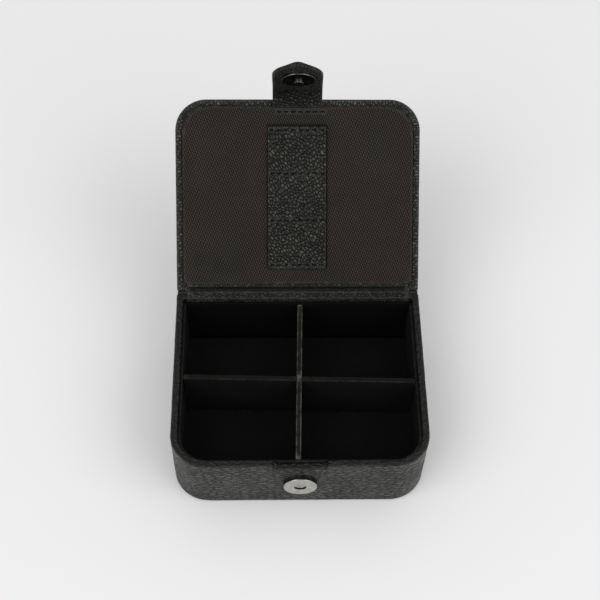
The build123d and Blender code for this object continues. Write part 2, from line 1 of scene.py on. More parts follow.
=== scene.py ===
"""Leather cufflink box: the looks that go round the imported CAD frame.

A piece is shaped in millimetres in the CAD's own axes (X to the right, Y to the back, Z up, origin at the
centre of the base's underside) and turned into metres when it is finished. Pieces of the lid are shaped on
the closed lid and then turned open about the hinge. Pieces of the tab are shaped straight, folded down as
the leather has set, and turned open with the lid.
"""

import logging
import math
from collections.abc import Callable, Iterable
from dataclasses import dataclass, field, replace
from enum import Enum, IntEnum

import bmesh
import bpy
from mathutils import Matrix, Vector, noise

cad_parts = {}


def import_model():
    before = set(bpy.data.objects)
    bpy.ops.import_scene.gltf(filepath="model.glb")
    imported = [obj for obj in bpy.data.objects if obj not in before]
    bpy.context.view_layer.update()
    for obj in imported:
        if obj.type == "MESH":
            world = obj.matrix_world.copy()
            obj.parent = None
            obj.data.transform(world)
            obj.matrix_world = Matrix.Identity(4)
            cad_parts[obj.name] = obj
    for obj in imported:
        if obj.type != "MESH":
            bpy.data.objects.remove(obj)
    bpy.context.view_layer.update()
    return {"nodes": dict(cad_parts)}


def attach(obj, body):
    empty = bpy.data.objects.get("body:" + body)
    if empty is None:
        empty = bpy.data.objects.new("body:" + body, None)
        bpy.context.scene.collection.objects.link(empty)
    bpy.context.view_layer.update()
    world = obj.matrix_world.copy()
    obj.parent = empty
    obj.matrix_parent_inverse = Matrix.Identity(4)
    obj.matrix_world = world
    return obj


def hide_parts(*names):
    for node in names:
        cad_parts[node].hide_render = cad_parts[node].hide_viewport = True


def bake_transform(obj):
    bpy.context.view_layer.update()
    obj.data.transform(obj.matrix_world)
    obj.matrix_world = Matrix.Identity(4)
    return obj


LOG = logging.getLogger("cufflink_box")
MM = 0.001
UV_NAME = "weave"
EDGE_NAME = "edge"
# The vertex attribute that carries painted shade: how far a place is coloured as lying in shade.
SHADE_NAME = "shade"
SMALLEST_CORNER = 0.4
SHEET_ANGLE = 30.0
METAL_ANGLE = 35.0
CUT_LEATHER_ANGLE = 50.0
THREAD_ANGLE = 60.0
ALL_AXES = {"X": Vector((1, 0, 0)), "Y": Vector((0, 1, 0)), "Z": Vector((0, 0, 1))}

Colour = tuple[float, float, float]
Triple = tuple[float, float, float]
Pair = tuple[float, float]
Span = tuple[str, float, float]
Profile = list[Pair]
Piece = bpy.types.Object
Socket = bpy.types.NodeSocket
Sockets = bpy.types.bpy_prop_collection
Number = float | Socket
Shade = Colour | Socket
Direction = Triple | Socket
Value = float | Triple | Socket


class Body(str, Enum):
    """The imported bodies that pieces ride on."""

    BASE = "base"
    LID = "lid"
    TAB = "tab"


class Slot(str, Enum):
    """The record's material slots that the shaped pieces belong to."""

    LEATHER = "black_leather"
    LINER = "liner_fabric"
    LINING = "lining_twill"
    THREAD = "thread"
    METAL = "snap_metal"
    UNDERSIDE = "underside_sheet"


class Rounded(str, Enum):
    """What a bevel rounds off."""

    CORNERS = "VERTICES"
    EDGES = "EDGES"


# Places and outlines


@dataclass(frozen=True)
class FoldLine:
    """A line across the box, parallel to X, that pieces turn about.

    Args:
        y: the line's place towards the back, in millimetres.
        z: the line's height.
    """

    y: float
    z: float

    def turn(self, degrees: float) -> Matrix:
        """The transform that turns a place about this line by the right-hand rule on +X."""
        there = Matrix.Translation((0.0, self.y, self.z))
        return there @ Matrix.Rotation(math.radians(degrees), 4, "X") @ there.inverted()


LID_HINGE = FoldLine(41.75, 34.7)
TAB_FOLD = FoldLine(-46.15, 34.3)
LID_ANGLE = 140.1
TAB_SET_ANGLE = 73.0
LID_OPEN = LID_HINGE.turn(-LID_ANGLE)
TAB_OPEN = LID_OPEN @ TAB_FOLD.turn(TAB_SET_ANGLE)


def smooth(value: float, low: float, high: float) -> float:
    """Rises smoothly from 0 at low to 1 at high."""
    share = min(max((value - low) / (high - low), 0.0), 1.0)
    return share * share * (3.0 - 2.0 * share)


def arc(inset: float, height: float, radius: float, start: float, end: float, steps: int = 4) -> Profile:
    """Points of a round edge in a profile, where the first number runs inwards and the second upwards.

    Args:
        inset: the round's centre, inwards from the outline.
        height: the round's centre, upwards.
        radius: the round's radius.
        start: the first angle in degrees, from the inward direction towards up.
        end: the last angle in degrees.
        steps: the number of straight runs along the round.

    Returns:
        The points as (inset, height) pairs.
    """
    angles = [math.radians(start + (end - start) * i / steps) for i in range(steps + 1)]
    return [(inset + radius * math.cos(a), height + radius * math.sin(a)) for a in angles]


@dataclass(frozen=True)
class Outline:
    """A rectangle with rounded corners, as seen from above.

    Args:
        half_width: half the width along X.
        front: the front edge's Y.
        back: the back edge's Y.
        front_radius: the radius of the two front corners.
        back_radius: the radius of the two back corners.
    """

    half_width: float
    front: float
    back: float
    front_radius: float
    back_radius: float

    def inset(self, amount: float) -> "Outline":
        """The outline drawn in by an amount, or out by a negative one.

        Args:
            amount: how far in, or out where it is negative.

        Returns:
            The new outline.
        """
        return Outline(
            self.half_width - amount,
            self.front + amount,
            self.back - amount,
            max(self.front_radius - amount, SMALLEST_CORNER),
            max(self.back_radius - amount, SMALLEST_CORNER),
        )

    def along(self, x: float, y: float) -> float:
        """How far round the outline a place lies from the middle of the front edge.

        Args:
            x: the place's X.
            y: the place's Y.

        Returns:
            The distance, negative on the left.
        """
        side = 1.0 if x >= 0.0 else -1.0
        reach = abs(x)
        front_x = self.half_width - self.front_radius
        front_y = self.front + self.front_radius
        back_x = self.half_width - self.back_radius
        back_y = self.back - self.back_radius
        quarter = math.pi / 2.0
        side_start = front_x + self.front_radius * quarter
        if y < front_y and reach > front_x:
            return side * (front_x + self.front_radius * math.atan2(reach - front_x, front_y - y))
        if y > back_y and reach > back_x:
            turned = math.atan2(y - back_y, reach - back_x)
            return side * (side_start + back_y - front_y + self.back_radius * turned)
        to_front, to_side, to_back = y - self.front, self.half_width - reach, self.back - y
        if to_front <= min(to_side, to_back):
            return side * reach
        if to_side <= to_back:
            return side * (side_start + y - front_y)
        return side * (side_start + back_y - front_y + self.back_radius * quarter + back_x - reach)

    def depth(self, x: float, y: float) -> float:
        """How far inwards from the outline a place lies.

        Args:
            x: the place's X.
            y: the place's Y.

        Returns:
            The distance, negative outside.
        """
        reach = abs(x)
        for radius, out_y in (
            (self.front_radius, self.front + self.front_radius - y),
            (self.back_radius, y - self.back + self.back_radius),
        ):
            out_x = reach - self.half_width + radius
            if out_x > 0.0 and out_y > 0.0:
                return radius - math.hypot(out_x, out_y)
        return min(y - self.front, self.half_width - reach, self.back - y)


BASE_OUTLINE = Outline(53.0, -41.75, 41.75, 15.0, 1.2)
LID_OUTLINE = Outline(53.0, -41.75, 41.75, 13.5, 1.2)
LINING_OUTLINE = Outline(49.8, -38.35, 38.05, 11.5, 2.0)


# Shaping


@dataclass(frozen=True)
class Swell:
    """One pattern of rises and dips in a soft covering.

    Args:
        amount: the most that a point moves along its normal.
        size: the width of one rise.
        seed: a number that picks the pattern.
    """

    amount: float
    size: float
    seed: float


def link(name: str, data: bpy.types.ID) -> Piece:
    """Adds an object with some data to the scene.

    Args:
        name: the object's name.
        data: its mesh, lamp or camera.

    Returns:
        The object.
    """
    made = bpy.data.objects.new(name, data)
    bpy.context.scene.collection.objects.link(made)
    return made


class Shape:
    """One piece's mesh while it is shaped, in millimetres."""

    def __init__(self) -> None:
        """Starts with an empty mesh."""
        self.bm = bmesh.new()

    def everything(self) -> list:
        """All the vertices, edges and faces, as an operator takes them."""
        return self.bm.verts[:] + self.bm.edges[:] + self.bm.faces[:]

    def ring(self, outline: Outline, height: float, steps: int) -> list[bmesh.types.BMEdge]:
        """Adds one closed ring of edges that follows an outline.

        Args:
            outline: the rounded rectangle to follow.
            height: the ring's Z.
            steps: the number of edges in each rounded corner.

        Returns:
            The ring's edges.
        """
        known = set(self.bm.edges)
        corners = bmesh.ops.create_grid(self.bm, x_segments=1, y_segments=1, size=1.0)["verts"]
        front = [corner for corner in corners if corner.co.y < 0.0]
        back = [corner for corner in corners if corner.co.y > 0.0]
        for group, place in ((front, outline.front), (back, outline.back)):
            for corner in group:
                corner.co = Vector((corner.co.x * outline.half_width, place, height))
        for group, radius in ((front, outline.front_radius), (back, outline.back_radius)):
            self.bevel(group, radius, steps, Rounded.CORNERS)
        edges = [e for e in self.bm.edges if e not in known]
        faces = {f for e in edges for f in e.link_faces}
        bmesh.ops.delete(self.bm, geom=list(faces), context="FACES_ONLY")
        return edges

    def wrap(
        self, outline: Outline, profile: Profile, steps: int, closed: bool = False, caps: tuple = (),
    ) -> None:
        """Carries a profile round an outline, ring by ring.

        Args:
            outline: the outline at inset 0.
            profile: the profile's points, as (inset, height) pairs.
            steps: the number of edges in each rounded corner.
            closed: whether the last ring joins the first.
            caps: the places in the profile whose rings are filled with a face.
        """
        rings = [self.ring(outline.inset(inset), height, steps) for inset, height in profile]
        self.bridge(rings + rings[:1] if closed else rings)
        for place in caps:
            bmesh.ops.contextual_create(self.bm, geom=rings[place])

    def bridge(self, rings: list) -> None:
        """Joins each ring of edges to the next with faces."""
        for first, second in zip(rings, rings[1:]):
            bmesh.ops.bridge_loops(self.bm, edges=first + second)

    def shell(self, outline: Outline, outer: Profile, inner: Profile, steps: int) -> None:
        """Carries a covering's two sides round an outline and closes each across the middle.

        Args:
            outline: the outline at inset 0.
            outer: the outer side's profile, which ends at its middle face.
            inner: the inner side's profile, which starts at its middle face.
            steps: the number of edges in each rounded corner.
        """
        outer_rings = [self.ring(outline.inset(inset), height, steps) for inset, height in outer]
        inner_rings = [self.ring(outline.inset(inset), height, steps) for inset, height in inner]
        for rings in (outer_rings, inner_rings, [inner_rings[-1], outer_rings[0]]):
            self.bridge(rings)
        bmesh.ops.contextual_create(self.bm, geom=outer_rings[-1])
        bmesh.ops.contextual_create(self.bm, geom=inner_rings[0])

    def cut(self, axis: str, places: Iterable[float]) -> None:
        """Cuts across the whole mesh at several places along an axis, and keeps both sides.

        Args:
            axis: X, Y or Z.
            places: where to cut, along that axis.
        """
        direction = ALL_AXES[axis]
        for place in places:
            bmesh.ops.bisect_plane(
                self.bm, geom=self.everything(), dist=1e-4, plane_co=direction * place, plane_no=direction,
            )

    def lattice(self, axis: str, low: float, high: float, step: float) -> None:
        """Cuts the mesh at even steps along an axis."""
        count = max(int(round((high - low) / step)), 1)
        self.cut(axis, [low + (high - low) * i / count for i in range(count + 1)])

    def shift(self, rule: Callable[[Vector], Vector]) -> None:
        """Moves each vertex by what a rule gives for its place."""
        for vertex in self.bm.verts:
            vertex.co += rule(vertex.co)

    def ruffle(self, *swells: Swell) -> None:
        """Swells and sinks the surface a little, one pattern after the other.

        Args:
            swells: the patterns, in order.
        """
        for swell in swells:
            self.bm.normal_update()
            drift = Vector((swell.seed, -swell.seed, 2.0 * swell.seed))
            heights = [swell.amount * noise.noise(v.co / swell.size + drift) for v in self.bm.verts]
            moves = [v.normal * height for v, height in zip(self.bm.verts, heights)]
            for vertex, move in zip(self.bm.verts, moves):
                vertex.co += move

    def bevel(self, parts: list, width: float, steps: int, kind: Rounded) -> None:
        """Rounds corners or edges off to a width.

        Args:
            parts: the corners or edges.
            width: how far back the bevel starts.
            steps: the number of edges or faces in it.
            kind: whether corners or edges are rounded.
        """
        bmesh.ops.bevel(
            self.bm, geom=parts, offset=width, offset_type="OFFSET", segments=steps, profile=0.5,
            affect=kind.value, material=-1, clamp_overlap=kind is Rounded.EDGES,
        )

    def round_edges(self, width: float, steps: int, sharper_than: float = 40.0) -> None:
        """Bevels every edge that is sharper than an angle in degrees.

        Args:
            width: the bevel's width.
            steps: the number of faces across it.
            sharper_than: the angle, in degrees.
        """
        self.bm.normal_update()
        limit = math.radians(sharper_than)
        sharp = [e for e in self.bm.edges if len(e.link_faces) == 2 and e.calc_face_angle() > limit]
        self.bevel(sharp, width, steps, Rounded.EDGES)

    def thicken(self, height: float) -> None:
        """Makes a flat piece into a slab by raising a copy of it along Z.

        Args:
            height: how far up the copy goes.
        """
        made = bmesh.ops.extrude_face_region(self.bm, geom=self.bm.faces[:])["geom"]
        upper = [g for g in made if isinstance(g, bmesh.types.BMVert)]
        bmesh.ops.translate(self.bm, vec=(0.0, 0.0, height), verts=upper)
        bmesh.ops.recalc_face_normals(self.bm, faces=self.bm.faces[:])

    def sweep(self, edges: list, moves: list[Vector]) -> None:
        """Extrudes a row of edges again and again, each time on by the next move.

        Args:
            edges: the first row.
            moves: the moves, in order.
        """
        for move in moves:
            made = bmesh.ops.extrude_edge_only(self.bm, edges=edges)["geom"]
            points = [g for g in made if isinstance(g, bmesh.types.BMVert)]
            old = set(edges)
            edges = [
                g for g in made
                if isinstance(g, bmesh.types.BMEdge) and g not in old and all(v in points for v in g.verts)
            ]
            bmesh.ops.translate(self.bm, vec=move, verts=points)

    def sheet(self, half_width: float, columns: int, line: list[Vector], thickness: float) -> None:
        """Sweeps a row of edges parallel to X along a line, and thickens what it leaves.

        Args:
            half_width: half the row's length.
            columns: the number of edges in the row.
            line: the places that the row passes.
            thickness: the sheet's thickness.
        """
        row = bmesh.ops.create_grid(self.bm, x_segments=columns, y_segments=1, size=half_width)["verts"]
        bmesh.ops.delete(self.bm, geom=[v for v in row if v.co.y > 0.0], context="VERTS")
        for vertex in self.bm.verts:
            vertex.co = Vector((vertex.co.x, line[0].y, line[0].z))
        self.sweep(self.bm.edges[:], [b - a for a, b in zip(line, line[1:])])
        bmesh.ops.recalc_face_normals(self.bm, faces=self.bm.faces[:])
        bmesh.ops.solidify(self.bm, geom=self.bm.faces[:], thickness=thickness)

    def lathe(self, profile: Profile, centre: Vector, axis: Vector, steps: int = 72) -> None:
        """Turns a profile into a round piece.

        Args:
            profile: points as (radius, height along the axis); first and last may lie on the axis.
            centre: where height 0 is.
            axis: the direction of the piece's axis.
            steps: the number of sides round the axis.
        """
        upright = axis.normalized()
        out = upright.orthogonal().normalized()
        points = [self.bm.verts.new(centre + out * r + upright * h) for r, h in profile]
        edges = [self.bm.edges.new(pair) for pair in zip(points, points[1:])]
        bmesh.ops.spin(
            self.bm, geom=points + edges, cent=centre, axis=upright, angle=math.tau, steps=steps,
            use_merge=True, use_duplicate=False,
        )

    def transform(self, matrix: Matrix) -> "Shape":
        """Moves the whole piece."""
        bmesh.ops.transform(self.bm, matrix=matrix, verts=self.bm.verts[:])
        return self

    def unwrap(self, rule: Callable[[Vector, Vector], Pair]) -> None:
        """Gives each face corner a place on the cloth or hide, in millimetres.

        Args:
            rule: gives (across, along) for a vertex's place and its face's normal.
        """
        self.bm.normal_update()
        layer = self.bm.loops.layers.uv.new(UV_NAME)
        for face in self.bm.faces:
            middle = face.calc_center_median()
            for loop in face.loops:
                place = loop.vert.co.lerp(middle, 0.001)
                loop[layer].uv = rule(place, face.normal)

    def darken(self, rule: Callable[[Vector], float]) -> None:
        """Stores how much painted shade each vertex gets, on a rim, in a groove, at an edge or beside another
        part.

        Args:
            rule: gives a number from 0 to 1 for a place.
        """
        layer = self.bm.verts.layers.float.new(SHADE_NAME)
        for vertex in self.bm.verts:
            vertex[layer] = rule(vertex.co)

    def mark_edges(self) -> None:
        """Stores how sharply the surface turns outwards at each vertex, in turns per millimetre."""
        self.bm.normal_update()
        layer = self.bm.verts.layers.float.new(EDGE_NAME)
        for vertex in self.bm.verts:
            total, length = 0.0, 0.0
            for edge in vertex.link_edges:
                length += edge.calc_length()
                if len(edge.link_faces) == 2:
                    total += max(edge.calc_face_angle_signed(0.0), 0.0)
            vertex[layer] = min(total / max(length, 1e-3), 2.0)

    def finish(self, name: str, smooth_below: float = 42.0) -> Piece:
        """Turns the shape into an object in metres.

        Args:
            name: the piece's name.
            smooth_below: edges that turn less than this many degrees are shaded smooth.

        Returns:
            The object, at the origin, with its place in its mesh.
        """
        bmesh.ops.remove_doubles(self.bm, verts=self.bm.verts[:], dist=1e-4)
        bmesh.ops.recalc_face_normals(self.bm, faces=self.bm.faces[:])
        self.mark_edges()
        bmesh.ops.scale(self.bm, vec=(MM, MM, MM), verts=self.bm.verts[:])
        mesh = bpy.data.meshes.new(name)
        self.bm.to_mesh(mesh)
        self.bm.free()
        mesh.shade_smooth()
        mesh.set_sharp_from_angle(angle=math.radians(smooth_below))
        return link(name, mesh)


def box_places(place: Vector, normal: Vector) -> Pair:
    """Where a point lies on cloth that is laid flat on the side that its face looks to.

    Args:
        place: the point's place.
        normal: its face's normal.

    Returns:
        Its place across and along the cloth.
    """
    size = [abs(n) for n in normal]
    if size[2] >= max(size[0], size[1]):
        return place.x, place.y
    if size[1] >= size[0]:
        return place.x, place.z
    return place.y, place.z


# Node trees


class Tree:
    """Places nodes in a node tree and wires them."""

    def __init__(self, tree: bpy.types.NodeTree) -> None:
        """Keeps the tree that the nodes go into."""
        self.tree = tree

    def node(self, kind: str, inputs: dict | None = None, **settings: str | bool) -> bpy.types.Node:
        """Adds a node.

        Args:
            kind: the node's type without its ShaderNode prefix.
            inputs: a value or a socket for each named or numbered input.
            settings: the node's own settings.

        Returns:
            The node.
        """
        made = self.tree.nodes.new("ShaderNode" + kind)
        for key, value in settings.items():
            setattr(made, key, value)
        for key, value in (inputs or {}).items():
            self.put(made.inputs[key], value)
        return made

    def put(self, socket: Socket, value: Value) -> None:
        """Sets a socket to a value, or wires another socket to it.

        Args:
            socket: the socket that is filled.
            value: the value or the other socket.
        """
        if isinstance(value, Socket):
            self.tree.links.new(value, socket)
        elif hasattr(value, "__len__") and len(value) == 3 and len(socket.default_value) == 4:
            socket.default_value = (*value, 1.0)
        else:
            socket.default_value = value

    def math(self, operation: str, first: Number, second: Number = 0.0, clamp: bool = False) -> Socket:
        """A number worked out from two others."""
        return self.node("Math", {0: first, 1: second}, operation=operation, use_clamp=clamp).outputs[0]

    def times(self, first: Number, second: Number) -> Socket:
        """A number times another."""
        return self.math("MULTIPLY", first, second)

    def plus(self, first: Number, second: Number) -> Socket:
        """A number plus another."""
        return self.math("ADD", first, second)

    def vector(self, operation: str, first: Direction, second: Direction) -> Socket:
        """A vector worked out from two others."""
        return self.node("VectorMath", {0: first, 1: second}, operation=operation).outputs[0]

    def scaled(self, vector: Direction, factor: Number) -> Socket:
        """A vector times a number."""
        return self.node("VectorMath", {0: vector, "Scale": factor}, operation="SCALE").outputs[0]

    def span(
        self, value: Number, low: Number, high: Number, to_low: Number = 0.0, to_high: Number = 1.0,
    ) -> Socket:
        """A number carried smoothly from one span to another."""
        inputs = {0: value, 1: low, 2: high, 3: to_low, 4: to_high}
        return self.node("MapRange", inputs, interpolation_type="SMOOTHSTEP").outputs[0]

    def blend(self, share: Number, first: Shade, second: Shade) -> Socket:
        """A colour between two others."""
        return self.node("Mix", {0: share, 6: first, 7: second}, data_type="RGBA").outputs[2]

    def noise(
        self, vector: Direction, scale: float, detail: float = 2.0, roughness: float = 0.5,
    ) -> bpy.types.Node:
        """A noise texture."""
        inputs = {"Vector": vector, "Scale": scale, "Detail": detail, "Roughness": roughness}
        return self.node("TexNoise", inputs)

    def here(self) -> Socket:
        """The place on the piece, in metres."""
        return self.node("TexCoord").outputs["Object"]

    def unwrapped(self) -> Socket:
        """The place on the unwrapped hide or cloth, in millimetres."""
        return self.node("UVMap", uv_map=UV_NAME).outputs[0]

    def stored(self, name: str) -> Socket:
        """The number that the shape stores under a name."""
        return self.node("Attribute", attribute_name=name).outputs["Fac"]

    def toned(self, colour: Shade, value: Number) -> Socket:
        """A colour made lighter or darker."""
        return self.node("HueSaturation", {"Value": value, "Color": colour}).outputs[0]

    def bump(self, relief: float, height: Number) -> Socket:
        """The normal of a surface with a height, where 1 stands for the relief in metres."""
        return self.node("Bump", {"Strength": 1.0, "Distance": relief, "Height": height}).outputs[0]

    def feed(self, shader: Sockets, values: dict[str, Value]) -> None:
        """Puts a value or a socket into each named input of a shader."""
        for title, value in values.items():
            self.put(shader[title], value)


class Group:
    """A shader node group that is built once and placed in many materials."""

    name = "group"
    inputs: dict[str, str] = {}
    outputs: dict[str, str] = {}

    def tree(self) -> bpy.types.NodeTree:
        """The group's node tree, built on its first use.

        Returns:
            The node tree.
        """
        found = bpy.data.node_groups.get(self.name)
        if found:
            return found
        made = bpy.data.node_groups.new(self.name, "ShaderNodeTree")
        for way, sockets in (("INPUT", self.inputs), ("OUTPUT", self.outputs)):
            for title, kind in sockets.items():
                made.interface.new_socket(name=title, in_out=way, socket_type="NodeSocket" + kind)
        kit = Tree(made)
        given = made.nodes.new("NodeGroupInput").outputs
        taken = made.nodes.new("NodeGroupOutput").inputs
        for title, socket in self.build(kit, given).items():
            kit.put(taken[title], socket)
        return made

    def build(self, kit: Tree, given: Sockets) -> dict[str, Socket]:
        """Wires the inside of the group and returns what feeds each output."""
        raise NotImplementedError

    def place(self, kit: Tree, **values: Value) -> Sockets:
        """Places the group in a material with its own values.

        Args:
            kit: the material's tree.
            values: a value or a socket for every one of the group's inputs.

        Returns:
            The group's outputs.
        """
        node = kit.tree.nodes.new("ShaderNodeGroup")
        node.node_tree = self.tree()
        for title, value in values.items():
            kit.put(node.inputs[title], value)
        return node.outputs


class PebbleGrain(Group):
    """Pressed leather grain: small domed pebbles parted by creases."""

    name = "pebble_grain"
    inputs = {"Vector": "Vector", "Cell": "Float", "Warp": "Float", "Crease": "Float", "Fine": "Float"}
    outputs = {"Height": "Float", "Creases": "Float", "Tone": "Float"}
    dimensions = "3D"
    finer = 2.3
    unevenness = 0.35

    def build(self, kit: Tree, given: Sockets) -> dict[str, Socket]:
        """Wires the grain from a warped cell pattern and two noises.

        Args:
            kit: the group's own tree.
            given: the group's inputs.

        Returns:
            What feeds each output.
        """
        pattern = {"voronoi_dimensions": self.dimensions}
        place = kit.scaled(given["Vector"], kit.math("DIVIDE", 1.0, given["Cell"]))
        wander = kit.noise(place, 0.7, 2.0).outputs["Color"]
        offset = kit.scaled(kit.vector("SUBTRACT", wander, (0.5, 0.5, 0.5)), given["Warp"])
        warped = kit.vector("ADD", place, kit.scaled(offset, 2.0))
        laid = {"Vector": warped, "Scale": 1.0}
        edge = kit.node("TexVoronoi", laid, feature="DISTANCE_TO_EDGE", **pattern).outputs["Distance"]
        tone = kit.node("TexVoronoi", laid, feature="F1", **pattern).outputs["Color"]
        tone = kit.node("SeparateColor", {0: tone}).outputs[0]
        dome = kit.span(edge, 0.0, 0.42)
        creases = kit.math("SUBTRACT", 1.0, kit.span(edge, 0.0, given["Crease"]))
        laid = {"Vector": warped, "Scale": self.finer}
        split = kit.node("TexVoronoi", laid, feature="DISTANCE_TO_EDGE", **pattern).outputs["Distance"]
        minor = kit.math("SUBTRACT", 1.0, kit.span(split, 0.0, given["Crease"]))
        creases = kit.math("MAXIMUM", creases, kit.times(minor, given["Fine"]))
        dome = kit.math("SUBTRACT", dome, kit.times(minor, kit.times(given["Fine"], 0.5)))
        fine = kit.noise(place, 3.5, 3.0, 0.6).outputs["Fac"]
        broad = kit.noise(place, 0.22, 2.0).outputs["Fac"]
        height = kit.plus(dome, kit.times(fine, 0.3))
        uneven = kit.plus(kit.times(tone, 0.6), broad)
        height = kit.plus(height, kit.times(uneven, self.unevenness))
        return {"Height": height, "Creases": creases, "Tone": tone}


class FlatPebbleGrain(PebbleGrain):
    """The same grain on an unwrapped hide, where every crease is cut straight across."""

    name = "flat_pebble_grain"
    dimensions = "2D"


class TwillWeave(Group):
    """Twill cloth: slanting ribs broken into single threads."""

    name = "twill_weave"
    inputs = {"Vector": "Vector", "Pitch": "Float", "Slant": "Float"}
    outputs = {"Height": "Float", "Threads": "Float"}
    fuzz = 0.25
    stitch_length = 1.9
    row_shift = 0.47

    def build(self, kit: Tree, given: Sockets) -> dict[str, Socket]:
        """Wires the ribs across the slant and the thread breaks along it.

        Args:
            kit: the group's own tree.
            given: the group's inputs.

        Returns:
            What feeds each output.
        """
        laid = {"Vector": given["Vector"], "Angle": given["Slant"]}
        turned = kit.node("VectorRotate", laid, rotation_type="Z_AXIS").outputs[0]
        wobble = kit.noise(given["Vector"], 1.2, 2.0).outputs["Fac"]
        parts = kit.node("SeparateXYZ", {0: turned}).outputs
        across = kit.math("DIVIDE", parts[0], given["Pitch"])
        across = kit.plus(across, kit.times(wobble, self.fuzz))
        row = kit.times(kit.math("FLOOR", across), self.row_shift)
        length = kit.times(given["Pitch"], self.stitch_length)
        along = kit.plus(kit.math("DIVIDE", parts[1], length), row)
        rib = kit.math("ABSOLUTE", kit.math("SINE", kit.times(across, math.pi)))
        knot = kit.math("ABSOLUTE", kit.math("SINE", kit.times(along, math.pi)))
        threads = kit.times(rib, kit.plus(kit.times(knot, 0.7), 0.3))
        lint = kit.noise(given["Vector"], 9.0, 2.0).outputs["Fac"]
        height = kit.plus(threads, kit.times(lint, 0.25))
        return {"Height": height, "Threads": threads}


class Mottle(Group):
    """Slow change of tone over a surface, with a little speckle."""

    name = "mottle"
    inputs = {"Vector": "Vector", "Size": "Float", "Speckle": "Float"}
    outputs = {"Tone": "Float", "Second": "Float"}

    def build(self, kit: Tree, given: Sockets) -> dict[str, Socket]:
        """Wires two broad noises and one fine one.

        Args:
            kit: the group's own tree.
            given: the group's inputs.

        Returns:
            What feeds each output.
        """
        place = kit.scaled(given["Vector"], kit.math("DIVIDE", 1.0, given["Size"]))
        broad = kit.noise(place, 1.0, 3.0).outputs["Fac"]
        other = kit.noise(kit.vector("ADD", place, (7.3, 1.9, 4.1)), 0.8, 2.0).outputs["Fac"]
        fine = kit.math("SUBTRACT", kit.noise(place, 28.0, 2.0).outputs["Fac"], 0.5)
        tone = kit.plus(kit.span(broad, 0.3, 0.7), kit.times(fine, given["Speckle"]))
        return {"Tone": kit.math("ADD", tone, 0.0, clamp=True), "Second": kit.span(other, 0.35, 0.65)}


class EdgeRubAndSheen(Group):
    """Outward edges, broken up by noise: where hands rub them, and where a highlight is painted along them.
    """

    name = "edge_rub_and_sheen"
    inputs = {"Vector": "Vector", "Low": "Float", "High": "Float"}
    outputs = {"Mask": "Float"}

    def build(self, kit: Tree, given: Sockets) -> dict[str, Socket]:
        """Wires the stored edge measure with a patchy noise.

        Args:
            kit: the group's own tree.
            given: the group's inputs.

        Returns:
            What feeds each output.
        """
        edge = kit.stored(EDGE_NAME)
        mask = kit.span(edge, given["Low"], given["High"])
        patch = kit.span(kit.noise(given["Vector"], 420.0, 3.0).outputs["Fac"], 0.35, 0.65, 0.25, 1.0)
        return {"Mask": kit.times(mask, patch)}


# Finishes


@dataclass(frozen=True)
class Finish:
    """What every finish has: a name and a way to fill its material."""

    name: str

    def material(self) -> bpy.types.Material:
        """The finish's material, built on its first use.

        Returns:
            The material.
        """
        found = bpy.data.materials.get(self.name)
        if found:
            return found
        made = bpy.data.materials.new(self.name)
        made.use_nodes = True
        shader = made.node_tree.nodes["Principled BSDF"]
        self.fill(Tree(made.node_tree), shader.inputs)
        return made

    def fill(self, kit: Tree, shader: Sockets) -> None:
        """Wires the finish into a Principled BSDF's inputs."""
        raise NotImplementedError

    def dress(self, piece: Piece) -> None:
        """Puts the finish on a piece in place of what it has."""
        piece.data.materials.clear()
        piece.data.materials.append(self.material())


